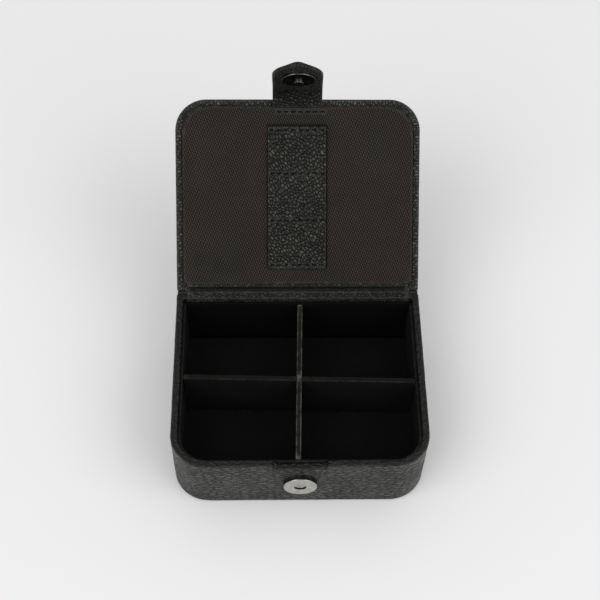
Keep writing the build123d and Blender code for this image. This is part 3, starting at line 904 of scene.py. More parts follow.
@dataclass(frozen=True)
class Leather(Finish):
    """Black grained leather.

    Args:
        face: the colour on the pebbles.
        cell: the width of one pebble, in metres.
        crease: the width of the creases, as a share of the pebble's.
        relief: the grain's height, in metres.
        deep: the colour in the creases, near black as a painted shade there.
        rub_and_sheen_colour: the colour on outward edges, for rubbed wear and a painted highlight.
        warp: how far the pebbles wander.
        fine: how strongly each pebble is split by finer creases.
        variety: how much one pebble's tone differs from the next.
        stretch: how many times longer the pebbles are along X, Y and Z, once turned.
        turned: how the pattern is turned, in degrees.
        shine: the least and the most roughness.
        level: the specular level.
        follows_edge: whether the grain follows the piece's own unwrapping, in millimetres.
        rub_and_sheen_share: how strongly the edge colour shows.
        rub_and_sheen_turns: how sharply an edge turns where the edge colour starts and where it is full.
        fold: the colour of the painted shade where the piece is marked as shaded, on a rim, in a groove or at
            an edge.
        painted_shade_share: how much of the painted shade's colour shows there.
        painted_shade_relief: how much of the grain's height is left there.
        patch: the width of a patch of tone, in metres.
    """

    face: Colour
    cell: float
    crease: float
    relief: float
    deep: Colour = (0.0015, 0.0015, 0.0014)
    rub_and_sheen_colour: Colour = (0.06, 0.061, 0.056)
    warp: float = 0.5
    fine: float = 0.25
    variety: float = 0.25
    stretch: Triple = (1.0, 1.0, 1.0)
    turned: Triple = (0.0, 0.0, 0.0)
    shine: Pair = (0.27, 0.45)
    level: float = 0.2
    follows_edge: bool = True
    rub_and_sheen_share: float = 0.55
    rub_and_sheen_turns: Pair = (0.06, 0.25)
    # Colour of the painted shade on marked rims, grooves and edges.
    fold: Colour = (0.004, 0.0042, 0.0037)
    painted_shade_share: float = 0.95
    painted_shade_relief: float = 0.25
    patch: float = 0.012

    def fill(self, kit: Tree, shader: Sockets) -> None:
        """Wires grain, tone and rubbed edges.

        Args:
            kit: the material's tree.
            shader: the shader's inputs.
        """
        place = kit.here()
        source, kind = place, PebbleGrain
        if self.follows_edge:
            source, kind = kit.scaled(kit.unwrapped(), MM), FlatPebbleGrain
        turned = tuple(math.radians(a) for a in self.turned)
        laid = {"Vector": source, "Scale": self.stretch, "Rotation": turned}
        mapped = kit.node("Mapping", laid, vector_type="TEXTURE").outputs[0]
        grain = kind().place(
            kit, Vector=mapped, Cell=self.cell, Crease=self.crease, Warp=self.warp, Fine=self.fine,
        )
        mottle = Mottle().place(kit, Vector=place, Size=self.patch, Speckle=0.3)
        low, high = self.rub_and_sheen_turns
        rub_and_sheen_share = EdgeRubAndSheen().place(kit, Vector=place, Low=low, High=high)["Mask"]
        spread = kit.span(grain["Tone"], 0.0, 1.0, 1.0 - self.variety, 1.0 + self.variety)
        tone = kit.times(kit.span(mottle["Tone"], 0.0, 1.0, 0.85, 1.15), spread)
        # Painted shade in the creases: they are coloured near black.
        colour = kit.toned(kit.blend(grain["Creases"], self.face, self.deep), tone)
        # Painted shade: where the stored shade attribute is set, the colour goes towards the fold colour and
        # the grain flattens.
        folded = kit.stored(SHADE_NAME)
        colour = kit.blend(kit.times(folded, self.painted_shade_share), colour, self.fold)
        # Rubbed wear and a painted highlight: outward edges take the edge colour.
        colour = kit.blend(kit.times(rub_and_sheen_share, self.rub_and_sheen_share), colour, self.rub_and_sheen_colour)
        rough = kit.plus(kit.times(grain["Creases"], 0.6), mottle["Second"])
        height = kit.times(grain["Height"], kit.span(folded, 0.0, 1.0, 1.0, self.painted_shade_relief))
        kit.feed(shader, {
            "Base Color": colour, "Roughness": kit.span(rough, 0.0, 1.6, *self.shine),
            "Normal": kit.bump(self.relief, height), "Specular IOR Level": self.level,
        })


@dataclass(frozen=True)
class Cloth(Finish):
    """Woven cloth with slanting ribs.

    Args:
        dark: the colour between threads.
        warm: the thread's warmer colour.
        cool: the thread's cooler colour.
        pitch: the distance between ribs, in millimetres.
        slant: the ribs' slant, in degrees.
        relief: the weave's height, in metres.
        level: the specular level.
        rub_and_sheen_colour: the colour on the folded edges, for wear and a painted highlight along them.
        rub_and_sheen_share: how strongly that edge colour shows.
        rub_and_sheen_turns: how sharply an edge turns where that edge colour starts and where it is full.
        patch: the width of a patch of tone, in metres.
    """

    dark: Colour = (0.002, 0.0016, 0.0014)
    warm: Colour = (0.053, 0.041, 0.036)
    cool: Colour = (0.045, 0.041, 0.036)
    pitch: float = 0.88
    slant: float = 21.0
    relief: float = 0.0003
    level: float = 0.1
    rub_and_sheen_colour: Colour = (0.05, 0.047, 0.042)
    rub_and_sheen_share: float = 0.7
    rub_and_sheen_turns: Pair = (0.04, 0.16)
    patch: float = 0.016

    def fill(self, kit: Tree, shader: Sockets) -> None:
        """Wires the weave over the piece's own unwrapping, with a painted highlight along folded edges and
        the stored painted shade.

        Args:
            kit: the material's tree.
            shader: the shader's inputs.
        """
        place = kit.here()
        cloth = kit.unwrapped()
        weave = TwillWeave().place(kit, Vector=cloth, Pitch=self.pitch, Slant=math.radians(self.slant))
        mottle = Mottle().place(kit, Vector=place, Size=self.patch, Speckle=0.5)
        tone = kit.span(mottle["Tone"], 0.0, 1.0, 0.93, 1.07)
        thread = kit.toned(kit.blend(mottle["Second"], self.warm, self.cool), tone)
        low, high = self.rub_and_sheen_turns
        # Painted highlight, with wear, along folded edges.
        edge = EdgeRubAndSheen().place(kit, Vector=place, Low=low, High=high)["Mask"]
        # Painted shade: the stored shade attribute colours the cloth dark under the hinge strip and beside
        # the strap.
        folded = kit.stored(SHADE_NAME)
        colour = kit.blend(weave["Threads"], self.dark, thread)
        colour = kit.blend(kit.times(edge, self.rub_and_sheen_share), colour, self.rub_and_sheen_colour)
        colour = kit.blend(folded, colour, self.dark)
        kit.feed(shader, {
            "Base Color": colour, "Roughness": kit.span(weave["Threads"], 0.0, 1.0, 0.95, 0.78),
            "Normal": kit.bump(self.relief, weave["Height"]), "Specular IOR Level": self.level,
        })


@dataclass(frozen=True)
class Metal(Finish):
    """Tumbled plated metal.

    Args:
        bright: the plating's colour.
        dull: the colour where the plating has darkened.
        shine: the least and the most roughness.
        relief: the height of the tumbled surface, in metres.
        edge: the colour on outward edges: rubbed wear, and on the dark finishes a painted highlight.
        rub_and_sheen_share: how strongly that edge colour shows.
        rub_and_sheen_turns: how sharply an edge turns where that edge colour starts and where it is full.
        patch: the width of a darker patch, in metres.
    """

    bright: Colour = (0.5, 0.5, 0.47)
    dull: Colour = (0.2, 0.18, 0.15)
    shine: Pair = (0.22, 0.4)
    relief: float = 0.000004
    edge: Colour = (0.3, 0.29, 0.27)
    rub_and_sheen_share: float = 0.7
    rub_and_sheen_turns: Pair = (0.1, 0.8)
    patch: float = 0.002

    def fill(self, kit: Tree, shader: Sockets) -> None:
        """Wires a fine tumbled surface with darker patches, and the edge colour on outward edges.

        Args:
            kit: the material's tree.
            shader: the shader's inputs.
        """
        place = kit.here()
        mottle = Mottle().place(kit, Vector=place, Size=self.patch, Speckle=1.4)
        low, high = self.rub_and_sheen_turns
        rub_and_sheen_share = EdgeRubAndSheen().place(kit, Vector=place, Low=low, High=high)["Mask"]
        colour = kit.blend(kit.times(mottle["Tone"], 0.35), self.bright, self.dull)
        # Rubbed wear, and on the dark finishes a painted highlight, on outward edges.
        colour = kit.blend(kit.times(rub_and_sheen_share, self.rub_and_sheen_share), colour, self.edge)
        fine = kit.noise(place, 9000.0, 2.0).outputs["Fac"]
        kit.feed(shader, {
            "Base Color": colour, "Metallic": 1.0, "Normal": kit.bump(self.relief, fine),
            "Roughness": kit.span(mottle["Second"], 0.0, 1.0, *self.shine),
        })


@dataclass(frozen=True)
class Thread(Finish):
    """Two-ply sewing thread.

    Args:
        dark: the colour between the plies.
        face: the colour of the plies.
        along: how the twist's bands are turned, in degrees.
        relief: the plies' height, in metres.
    """

    dark: Colour = (0.001, 0.001, 0.001)
    face: Colour = (0.0032, 0.0032, 0.003)
    along: Triple = (0.0, 0.0, 40.0)
    relief: float = 0.00005

    def fill(self, kit: Tree, shader: Sockets) -> None:
        """Wires slanting bands of twisted ply.

        Args:
            kit: the material's tree.
            shader: the shader's inputs.
        """
        place = kit.here()
        turned = tuple(math.radians(a) for a in self.along)
        mapped = kit.node("Mapping", {"Vector": place, "Rotation": turned}).outputs[0]
        bands = kit.node("TexWave", {"Vector": mapped, "Scale": 900.0, "Distortion": 0.6}).outputs["Fac"]
        fuzz = kit.noise(place, 5000.0, 2.0).outputs["Fac"]
        height = kit.plus(bands, kit.times(fuzz, 0.4))
        kit.feed(shader, {
            "Base Color": kit.blend(bands, self.dark, self.face),
            "Roughness": kit.span(fuzz, 0.2, 0.8, 0.55, 0.8),
            "Normal": kit.bump(self.relief, height), "Specular IOR Level": 0.1,
        })


@dataclass(frozen=True)
class Fibre(Finish):
    """Pressed fibre, such as board, card, foam or a backing sheet.

    Args:
        pale: the lighter colour.
        deep: the darker colour.
        size: the width of a fleck, in metres.
        relief: the surface's height, in metres.
        rough: the least and the most roughness.
    """

    pale: Colour = (0.24, 0.22, 0.19)
    deep: Colour = (0.13, 0.12, 0.1)
    size: float = 0.004
    relief: float = 0.00003
    rough: Pair = (0.8, 0.95)

    def fill(self, kit: Tree, shader: Sockets) -> None:
        """Wires flecks over slow patches.

        Args:
            kit: the material's tree.
            shader: the shader's inputs.
        """
        place = kit.here()
        mottle = Mottle().place(kit, Vector=place, Size=self.size, Speckle=0.9)
        flecks = kit.noise(place, 2600.0, 4.0, 0.7).outputs["Fac"]
        share = kit.times(mottle["Tone"], kit.span(flecks, 0.3, 0.7))
        kit.feed(shader, {
            "Base Color": kit.blend(share, self.pale, self.deep),
            "Roughness": kit.span(flecks, 0.2, 0.8, *self.rough),
            "Normal": kit.bump(self.relief, flecks), "Specular IOR Level": 0.25,
        })


@dataclass(frozen=True)
class Paper(Finish):
    """Plain backdrop paper.

    Args:
        pale: its colour.
        clouding: how much darker its patches are, as a share.
    """

    pale: Colour = (0.8, 0.8, 0.8)
    clouding: float = 0.01

    def fill(self, kit: Tree, shader: Sockets) -> None:
        """Wires very slow patches.

        Args:
            kit: the material's tree.
            shader: the shader's inputs.
        """
        mottle = Mottle().place(kit, Vector=kit.here(), Size=0.4, Speckle=0.1)
        patch = tuple(c * (1.0 - self.clouding) for c in self.pale)
        kit.feed(shader, {
            "Base Color": kit.blend(mottle["Tone"], patch, self.pale),
            "Roughness": kit.span(mottle["Second"], 0.0, 1.0, 0.9, 0.95), "Specular IOR Level": 0.1,
        })


WALL_LEATHER = Leather(
    "wall_leather", face=(0.082, 0.085, 0.0725), deep=(0.0014, 0.0014, 0.0012), crease=0.36, variety=0.22,
    fine=0.3, stretch=(2.2, 1.0, 1.0), cell=0.0016, warp=0.75, relief=0.0014, level=0.24,
)
MARGIN_LEATHER = Leather(
    "margin_leather", face=(0.08, 0.083, 0.071), deep=(0.001, 0.001, 0.0009), crease=0.34,
    stretch=(1.0, 2.2, 1.0), cell=0.00125, relief=0.0009, level=0.3, rub_and_sheen_share=0.12,
)
STRAP_LEATHER = Leather(
    "strap_leather", face=(0.079, 0.0815, 0.07), deep=(0.0008, 0.0008, 0.0007), crease=0.34,
    cell=0.00118, stretch=(1.5, 1.0, 1.0), turned=(0.0, 0.0, 55.0), relief=0.0012, rub_and_sheen_share=0.8, level=0.18,
)
# Painted shade: the tab is a darker copy of the strap's leather, as its surface faces away from the light.
SHADED_TAB_LEATHER = replace(
    STRAP_LEATHER, name="tab_leather_painted_shade", face=(0.045, 0.0465, 0.04), crease=0.32, turned=(0.0, 0.0, 30.0),
    rub_and_sheen_share=0.55,
)
HINGE_LEATHER = Leather(
    "hinge_leather", face=(0.058, 0.06, 0.051), crease=0.3, variety=0.35, cell=0.0011, relief=0.0006, rub_and_sheen_share=0.6,
    follows_edge=False,
)
LINING_CLOTH = Cloth("lining_cloth")
# Its edge colour paints a light line along the cloth's folded top edge, a painted highlight.
LINER_CLOTH = Cloth(
    "liner_cloth", dark=(0.0012, 0.0012, 0.0012), warm=(0.0095, 0.0095, 0.009), cool=(0.008, 0.0088, 0.0078),
    pitch=0.7, relief=0.00008, rub_and_sheen_colour=(0.028, 0.028, 0.024), rub_and_sheen_share=0.5,
)
# Painted highlight: a copy of the liner cloth with much lighter edges, for the front-to-back divider.
PAINTED_HIGHLIGHT_CLOTH = replace(LINER_CLOTH, name="painted_highlight_cloth", rub_and_sheen_colour=(0.085, 0.082, 0.07), rub_and_sheen_share=0.9)
SEWING_THREAD = Thread("sewing_thread")
SATIN_METAL = Metal("satin_metal")
# Painted shade and highlight: a dark copy of the snap metal for the cup's side and the tab's disc, standing
# in for the dark that they reflect, with a highlight painted on their edges.
PAINTED_DARK_METAL = Metal(
    "painted_dark_metal", bright=(0.035, 0.034, 0.03), dull=(0.015, 0.014, 0.012), shine=(0.14, 0.26), relief=0.0,
    edge=(0.38, 0.365, 0.325),
)
# The stud is coloured dark as painted shade, like the disc, with a faint highlight painted on its edges.
STUD_METAL = Metal(
    "stud_metal", bright=(0.05, 0.048, 0.044), dull=(0.015, 0.014, 0.012), shine=(0.12, 0.22), relief=0.0,
    edge=(0.12, 0.115, 0.1),
)
# Painted light: a lighter, rougher copy of the snap metal, so that the deep well in the snap looks lit.
LIT_WELL_METAL = Metal("well_metal_painted_light", bright=(0.62, 0.61, 0.58), dull=(0.45, 0.43, 0.4), shine=(0.55, 0.7))
DARK_METAL = Metal("dark_metal", bright=(0.2, 0.19, 0.18), dull=(0.08, 0.075, 0.07), shine=(0.3, 0.5))
MAGNET_STONE = Fibre("magnet_stone", pale=(0.05, 0.05, 0.052), deep=(0.025, 0.025, 0.026), rough=(0.45, 0.7))
GREYBOARD = Fibre("greyboard_fibre")
CARD = Fibre("card_fibre", pale=(0.3, 0.28, 0.24), deep=(0.2, 0.18, 0.15), size=0.002)
FOAM = Fibre("padding_foam", pale=(0.1, 0.1, 0.1), deep=(0.045, 0.045, 0.045), size=0.001, relief=0.0001)
UNDERSIDE = Fibre("underside_paper", pale=(0.014, 0.014, 0.014), deep=(0.006, 0.006, 0.006), size=0.003)
BACKDROP = Paper("floor_paper")


def present(
    piece: Piece, finish: Finish, body: Body | None, stands_for: tuple[str, ...] = (),
) -> Piece:
    """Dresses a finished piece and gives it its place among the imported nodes.

    Args:
        piece: the piece.
        finish: its finish.
        body: the body it rides on, or None where it bends between two.
        stands_for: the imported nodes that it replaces.

    Returns:
        The same piece.
    """
    finish.dress(piece)
    if stands_for:
        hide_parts(*stands_for)
    if body is not None:
        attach(piece, body.value)
    LOG.info("%s: %d vertices", piece.name, len(piece.data.vertices))
    return piece


# Base


@dataclass
class BaseCover:
    """The leather wrap of the base, with its rim and its notch, and the sheet under it."""

    outline: Outline = BASE_OUTLINE
    height: float = 34.2
    leather: float = 0.7
    turn_in: float = 0.5
    wall: float = 2.9
    turn_in_end: float = 25.2
    bottom: float = 0.4
    bottom_turn_in: float = 12.0
    bottom_flat: float = 6.0
    bottom_rounding: float = 1.4
    rim_outer: float = 0.8
    rim_inner: float = 0.5
    notch_centre: float = -0.2
    notch_top: float = 11.5
    notch_floor: float = 10.2
    notch_depth: float = 2.7
    notch_low: float = 20.0
    notch_high: float = 31.0
    notch_cuts: tuple[float, ...] = (-11.7, -11.3, -10.9, -10.5, -10.1, 10.1, 10.5, 10.9, 11.3, 11.7)
    panel_inset: float = 3.0
    panel_softness: float = 0.15
    steps: int = 24
    cell: float = 1.6
    wall_low: float = 2.0
    wall_high: float = 33.0
    swells: tuple[Swell, ...] = (Swell(0.09, 9.0, 3.1), Swell(0.035, 3.0, 8.7))

    def profile(self) -> Profile:
        """The wrap's section, once round the leather sheet.

        Returns:
            The points, as (inset, height) pairs.
        """
        low, top, wall = self.bottom, self.height, self.wall
        inner = wall - self.turn_in
        points = [(self.bottom_turn_in, low), (self.bottom_flat, low)]
        points += arc(self.bottom_rounding, low + self.bottom_rounding, self.bottom_rounding, 270, 180, 5)
        points += arc(self.rim_outer, top - self.rim_outer, self.rim_outer, 180, 90, 5)
        points += arc(wall - self.rim_inner, top - self.rim_inner, self.rim_inner, 90, 0, 3)
        points += [(wall, self.turn_in_end), (inner, self.turn_in_end), (inner, top - self.leather)]
        points += [(self.leather, top - self.leather), (self.leather, low + self.leather)]
        points += [(self.bottom_turn_in, low + self.leather)]
        return points

    def notch(self, place: Vector) -> Vector:
        """How far the front rim is pressed down at a place.

        Args:
            place: the place on the piece.

        Returns:
            The move at that place.
        """
        if place.y > self.outline.front + self.wall + 0.3 or place.z < self.notch_low:
            return Vector()
        away = abs(place.x - self.notch_centre)
        across = 1.0 - smooth(away, self.notch_floor - 0.25, self.notch_top + 0.15)
        down = smooth(place.z, self.notch_low, self.notch_high)
        return Vector((0.0, 0.0, -self.notch_depth * across * down))

    def places(self, place: Vector, normal: Vector) -> Pair:
        """Where a point lies on the hide: round the wall, and up it and over the rim."""
        return self.outline.along(place.x, place.y), place.z + self.outline.depth(place.x, place.y)

    def rim_shade(self, place: Vector) -> float:
        """Painted shade: the rim is coloured darker than the wall, standing in for the dark that it reflects.
        """
        over = place.z + self.outline.depth(place.x, place.y) - self.height
        return smooth(over, 0.0, 0.16)

    def build_wrap(self) -> Piece:
        """The leather wrap.

        Returns:
            The piece.
        """
        shape = Shape()
        shape.wrap(self.outline, self.profile(), self.steps, closed=True)
        half = self.outline.half_width
        shape.lattice("X", -half, half, self.cell)
        shape.cut("X", [self.notch_centre + cut for cut in self.notch_cuts])
        shape.lattice("Y", self.outline.front, self.outline.back, self.cell)
        shape.lattice("Z", self.wall_low, self.wall_high, self.cell)
        shape.unwrap(self.places)
        shape.darken(self.rim_shade)
        shape.shift(self.notch)
        shape.ruffle(*self.swells)
        return shape.finish("base_leather")

    def build_panel(self) -> Piece:
        """The sheet under the base, with a soft cut edge.

        Returns:
            The piece.
        """
        shape = Shape()
        inset, soft = self.panel_inset, self.panel_softness
        points = [(inset, self.bottom), (inset, soft), (inset + soft, 0.0)]
        shape.wrap(self.outline, points, self.steps, caps=(0, 2))
        return shape.finish("underside_sheet_panel", SHEET_ANGLE)

    def build(self) -> None:
        """Makes and places both pieces."""
        present(self.build_wrap(), WALL_LEATHER, Body.BASE, ("base_leather_wrap",))
        present(self.build_panel(), UNDERSIDE, Body.BASE, ("base_underside_panel",))


@dataclass
class Liner:
    """The cloth on the walls and on the floor of the inside."""

    outline: Outline = Outline(50.1, -38.85, 38.35, 12.1, 0.6)
    card: float = 0.7
    cloth: float = 0.4
    top: float = 32.4
    bottom: float = 2.9
    fold_end: float = 29.0
    fold_rounding: float = 0.45
    fold_back: float = 0.33
    fold_out: float = 0.03
    fold_in: float = 0.04
    fold_lift: float = 0.02
    floor_top: float = 3.7
    floor_bottom: float = 3.4
    floor_softness: float = 0.12
    steps: int = 20
    cell: float = 2.5
    wall_spans: tuple[Span, ...] = (("X", -50.0, 50.0), ("Y", -38.0, 38.0), ("Z", 4.0, 30.0))
    floor_cell: float = 3.0
    floor_spans: tuple[Span, ...] = (("X", -48.5, 48.5), ("Y", -37.0, 37.0))
    swell: Swell = Swell(0.07, 7.0, 5.5)

    def build_walls(self) -> Piece:
        """The cloth of the walls, folded over the card's top edge.

        Returns:
            The piece.
        """
        thick = self.card + self.cloth
        points = [(self.card, self.bottom), (thick, self.bottom)]
        rounding, back = self.fold_rounding, self.fold_back
        points += arc(thick - rounding, self.top - rounding, rounding, 0, 90, 4)
        points += arc(back - self.fold_out, self.top - back, back, 90, 180, 3)
        under = self.top - self.cloth + self.fold_lift
        points += [(-self.fold_out, self.fold_end), (self.fold_in, self.fold_end)]
        points += [(self.fold_in, under), (self.card, under)]
        shape = Shape()
        shape.wrap(self.outline, points, self.steps, closed=True)
        for axis, low, high in self.wall_spans:
            shape.lattice(axis, low, high, self.cell)
        shape.darken(self.back_shade)
        shape.ruffle(self.swell)
        shape.unwrap(box_places)
        return shape.finish("liner_walls")

    def back_shade(self, place: Vector) -> float:
        """Painted shadow: the back wall's top edge is coloured dark where the hinge strip shades it."""
        return smooth(place.y, self.outline.back - 1.6, self.outline.back - 1.2)

    def build_floor(self) -> Piece:
        """The cloth of the floor, with a soft edge.

        Returns:
            The piece.
        """
        inset = self.card + self.cloth + 0.1
        soft, top = self.floor_softness, self.floor_top
        points = [(inset, self.floor_bottom), (inset, top - soft), (inset + soft, top)]
        shape = Shape()
        shape.wrap(self.outline, points, self.steps, caps=(0, 2))
        for axis, low, high in self.floor_spans:
            shape.lattice(axis, low, high, self.floor_cell)
        shape.unwrap(box_places)
        return shape.finish("liner_floor")

    def build(self) -> None:
        """Makes and places both pieces."""
        present(self.build_walls(), LINER_CLOTH, Body.BASE, ("liner_wall_fabric",))
        present(self.build_floor(), LINER_CLOTH, Body.BASE, ("liner_floor_fabric",))


@dataclass
class Dividers:
    """The two cloth-covered dividers, halved into each other and pushed in a little askew."""

    centre_y: float = -0.25
    skew: float = -1.4
    thickness: float = 2.2
    low: float = 3.7
    top: float = 32.4
    long_half: float = 37.25
    cross_half: float = 48.75
    lap: float = 18.05
    lap_half: float = 1.25
    lap_clearance: float = 0.15
    rounding: float = 0.55
    cell: float = 2.5
    row: float = 3.0
    end_margin: float = 1.0
    row_margin: float = 2.0

    def build_one(self, name: str, half_length: float, slot_low: bool) -> Piece:
        """One divider's cloth.

        Args:
            name: the piece's name.
            half_length: half its length along Y before it is turned.
            slot_low: whether its slot opens downwards.

        Returns:
            The piece.
        """
        shape = Shape()
        half = self.thickness / 2.0
        bar = Outline(half, -half_length, half_length, 0.5, 0.5)
        points = [(0.0, self.low)]
        points += arc(self.rounding, self.top - self.rounding, self.rounding, 180, 90, 4)
        shape.wrap(bar, points, 3, caps=(0, len(points) - 1))
        margin = self.end_margin
        shape.lattice("Y", -half_length + margin, half_length - margin, self.cell)
        edge = self.lap_half
        shape.cut("Y", (-edge - 0.15, -edge, -0.01, 0.01, edge, edge + 0.15))
        shape.cut("Z", (self.lap - self.lap_clearance, self.lap + self.lap_clearance))
        shape.lattice("Z", self.low + self.row_margin, self.top - self.row_margin, self.row)
        inside = [f for f in shape.bm.faces if self.in_slot(f.calc_center_median(), slot_low)]
        bmesh.ops.delete(shape.bm, geom=inside, context="FACES")
        loops = [e for e in shape.bm.edges if e.is_boundary]
        bmesh.ops.bridge_loops(shape.bm, edges=loops)
        shape.ruffle(Swell(0.05, 6.0, 2.2 + half_length))
        shape.unwrap(box_places)
        return shape.finish(name)

    def in_slot(self, place: Vector, slot_low: bool) -> bool:
        """Whether a place lies in the halving slot.

        Args:
            place: the place on the piece.
            slot_low: whether the slot opens downwards.

        Returns:
            True inside the slot.
        """
        if abs(place.y) > self.lap_half:
            return False
        if slot_low:
            return place.z < self.lap + self.lap_clearance
        return place.z > self.lap - self.lap_clearance

    def build(self) -> None:
        """Makes and places both dividers."""
        there = Matrix.Translation((0.0, self.centre_y * MM, 0.0))
        turn = Matrix.Rotation(math.radians(self.skew), 4, "Z")
        across = Matrix.Rotation(math.radians(90.0), 4, "Z")
        long_one = self.build_one("divider_front_to_back", self.long_half, True)
        long_one.data.transform(there @ turn)
        cross_one = self.build_one("divider_side_to_side", self.cross_half, False)
        cross_one.data.transform(there @ turn @ across)
        # The front-to-back divider takes the cloth copy with a painted highlight along its edges.
        present(long_one, PAINTED_HIGHLIGHT_CLOTH, Body.BASE, ("divider_long_fabric",))
        present(cross_one, LINER_CLOTH, Body.BASE, ("divider_cross_fabric",))


class CupPart(IntEnum):
    """The parts of the snap's cup that get different painted light, in the order of its materials: the plain
    face, the side and lip in painted shade, and the well floor in painted light.
    """

    FACE = 0
    SIDE = 1
    WELL = 2


@dataclass
class FemaleSnap:
    """The half of the magnetic snap on the front wall."""

    centre: Vector = field(default_factory=lambda: Vector((0.0, -41.75, 19.05)))
    axis: Vector = field(default_factory=lambda: Vector((0.0, -1.0, 0.0)))
    radius: float = 7.0
    height: float = 2.35
    sheet: float = 0.4
    rounding: float = 0.6
    hole: float = 2.45
    lip: float = 0.25
    well: float = 0.8
    well_rounding: float = 0.15
    # Above this height the hole's lip takes the side's painted shade, as a dark crescent.
    dark_from: float = 1.35
    facing: float = 0.55
    sunk: float = 0.2
    back_gap: float = 0.05
    well_wall: float = 0.3

    def part_of(self, face: bpy.types.MeshPolygon) -> CupPart:
        """Which part of the cup a face belongs to, and so which painted light it takes.

        Args:
            face: a face of the cup's mesh.

        Returns:
            The part.
        """
        apart = Vector(face.center) / MM - self.centre
        height = apart.dot(self.axis)
        away = (apart - self.axis * height).length
        facing = abs(face.normal.dot(self.axis)) > self.facing
        if away < self.hole + 0.01:
            return CupPart.SIDE if height > self.dark_from else CupPart.WELL
        return CupPart.FACE if facing else CupPart.SIDE

    def build(self) -> None:
        """Makes and places the drawn cup."""
        radius, top, sheet = self.radius, self.height, self.sheet
        outer = arc(radius - self.rounding, top - self.rounding, self.rounding, 0, 90, 6)
        lip = arc(self.hole + self.lip, top - self.lip, self.lip, 90, 180, 4)
        lip.append((self.hole, self.dark_from))
        bend = self.well_rounding
        well = arc(self.hole - bend, self.well + bend, bend, 0, -90, 5)
        behind = self.hole + self.well_wall
        inner = [(0.0, self.well), (0.0, self.back_gap), (behind, self.back_gap), (behind, top - sheet - 0.1)]
        under = arc(radius - self.rounding, top - self.rounding, self.rounding - sheet, 90, 0, 3)
        foot = [(radius - sheet, -self.sunk), (radius, -self.sunk)]
        points = [(radius, -self.sunk)] + outer + lip + well + inner + under + foot
        shape = Shape()
        shape.lathe(points, self.centre, self.axis)
        cup = shape.finish("snap_cup", METAL_ANGLE)
        present(cup, SATIN_METAL, Body.BASE, ("snap_female_cap",))
        # The side and the lip get a dark metal as painted shade, the well floor a light metal as painted
        # light.
        cup.data.materials.append(PAINTED_DARK_METAL.material())
        cup.data.materials.append(LIT_WELL_METAL.material())
        for face in cup.data.polygons:
            face.material_index = self.part_of(face).value


# Hinge


@dataclass
class HingeLeather:
    """The two leathers that cross the hinge: the strip inside and the back outside."""

    half_width: float = 48.5
    strip: float = 0.4
    strip_columns: int = 60
    swell: Swell = Swell(0.05, 3.0, 1.3)
    leaf_y: float = 38.65
    leaf_heights: tuple[float, ...] = (24.2, 27.0, 30.0, 32.0, 33.0)
    rim_places: tuple[float, ...] = (39.7, 40.3, 40.9, 41.3)
    rim_z: float = 34.4
    bend: float = 0.45
    groove: float = 0.7
    groove_reach: float = 1.1
    groove_width: float = 0.75
    ridge: float = 0.4
    ridge_start: float = 1.7
    ridge_full: float = 2.9
    lid_reaches: tuple[float, ...] = (0.25, 0.6, 1.0, 1.4, 1.8, 2.2, 2.6, 3.0, 3.4, 3.8, 4.8, 5.9, 7.0)
    spine_half: float = 52.6
    spine: float = 0.35
    spine_columns: int = 50
    spine_rows: int = 14
    spine_row: float = 0.3
    spine_low: float = 32.6
    spine_proud: float = 0.12
    spine_bend: float = 0.7
    spine_flat: Pair = (1.2, 2.1)
    spine_loss: float = 0.8

    def strip_line(self) -> list[Vector]:
        """The strip's middle line at rest, from down in the base to under the lining.

        Returns:
            The places along it.
        """
        line = [Vector((0, self.leaf_y, z)) for z in self.leaf_heights]
        for inset, height in arc(self.leaf_y + self.bend, self.rim_z - self.bend, self.bend, 180, 90, 4):
            line.append(Vector((0, inset, height)))
        line += [Vector((0, y, self.rim_z)) for y in self.rim_places]
        for reach in self.lid_reaches:
            groove = self.groove * math.exp(-(((reach - self.groove_reach) / self.groove_width) ** 2))
            ridge = self.ridge * smooth(reach, self.ridge_start, self.ridge_full)
            line.append(LID_OPEN @ Vector((0, LID_HINGE.y - reach, LID_HINGE.z + groove - ridge)))
        return line

    def fold_shade(self, place: Vector) -> float:
        """Painted shade: the strip is coloured dark down in its groove on the lid's side of the hinge.

        Args:
            place: the place on the piece.

        Returns:
            How dark it is there, from 0 to 1.
        """
        closed = LID_OPEN.inverted() @ place
        reach = LID_HINGE.y - closed.y
        if place.y < LID_HINGE.y:
            return 0.0
        return smooth(reach, 0.0, 0.4) * smooth(-reach, -2.7, -2.1)

    def build_strip(self) -> Piece:
        """The leather strip over the back rim.

        Returns:
            The piece.
        """
        shape = Shape()
        shape.sheet(self.half_width, self.strip_columns, self.strip_line(), self.strip)
        shape.darken(self.fold_shade)
        shape.ruffle(self.swell)
        return shape.finish("hinge_strip")

    def spine_line(self) -> list[Vector]:
        """The back leather's line on the closed lid, straight up across the hinge.

        Returns:
            The places along it.
        """
        line = [Vector((0.0, LID_HINGE.y, self.spine_low))]
        for _ in range(self.spine_rows):
            line.append(line[-1] + Vector((0.0, 0.0, self.spine_row)))
        return line

    def build_spine(self) -> Piece:
        """The leather of the back, which creases when the lid is open.

        Returns:
            The piece.
        """
        shape = Shape()
        shape.sheet(self.spine_half, self.spine_columns, self.spine_line(), self.spine)
        for vertex in shape.bm.verts:
            inward = LID_HINGE.y - vertex.co.y
            thin = 1.0 - self.spine_loss * smooth(abs(vertex.co.z - LID_HINGE.z), *self.spine_flat)
            vertex.co.y = LID_HINGE.y + self.spine_proud * thin - abs(inward) * thin
            share = smooth(vertex.co.z, LID_HINGE.z - self.spine_bend, LID_HINGE.z + self.spine_bend)
            vertex.co = LID_HINGE.turn(-LID_ANGLE * share) @ vertex.co
        return shape.finish("hinge_back_leather")

    def build(self) -> None:
        """Makes both, shaped across the hinge, and leaves them on no body."""
        strip = present(
            self.build_strip(), HINGE_LEATHER, None, ("hinge_strip_base", "hinge_strip_lid"),
        )
        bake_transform(strip)
        back = present(self.build_spine(), HINGE_LEATHER, None)
        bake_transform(back)


# Lid


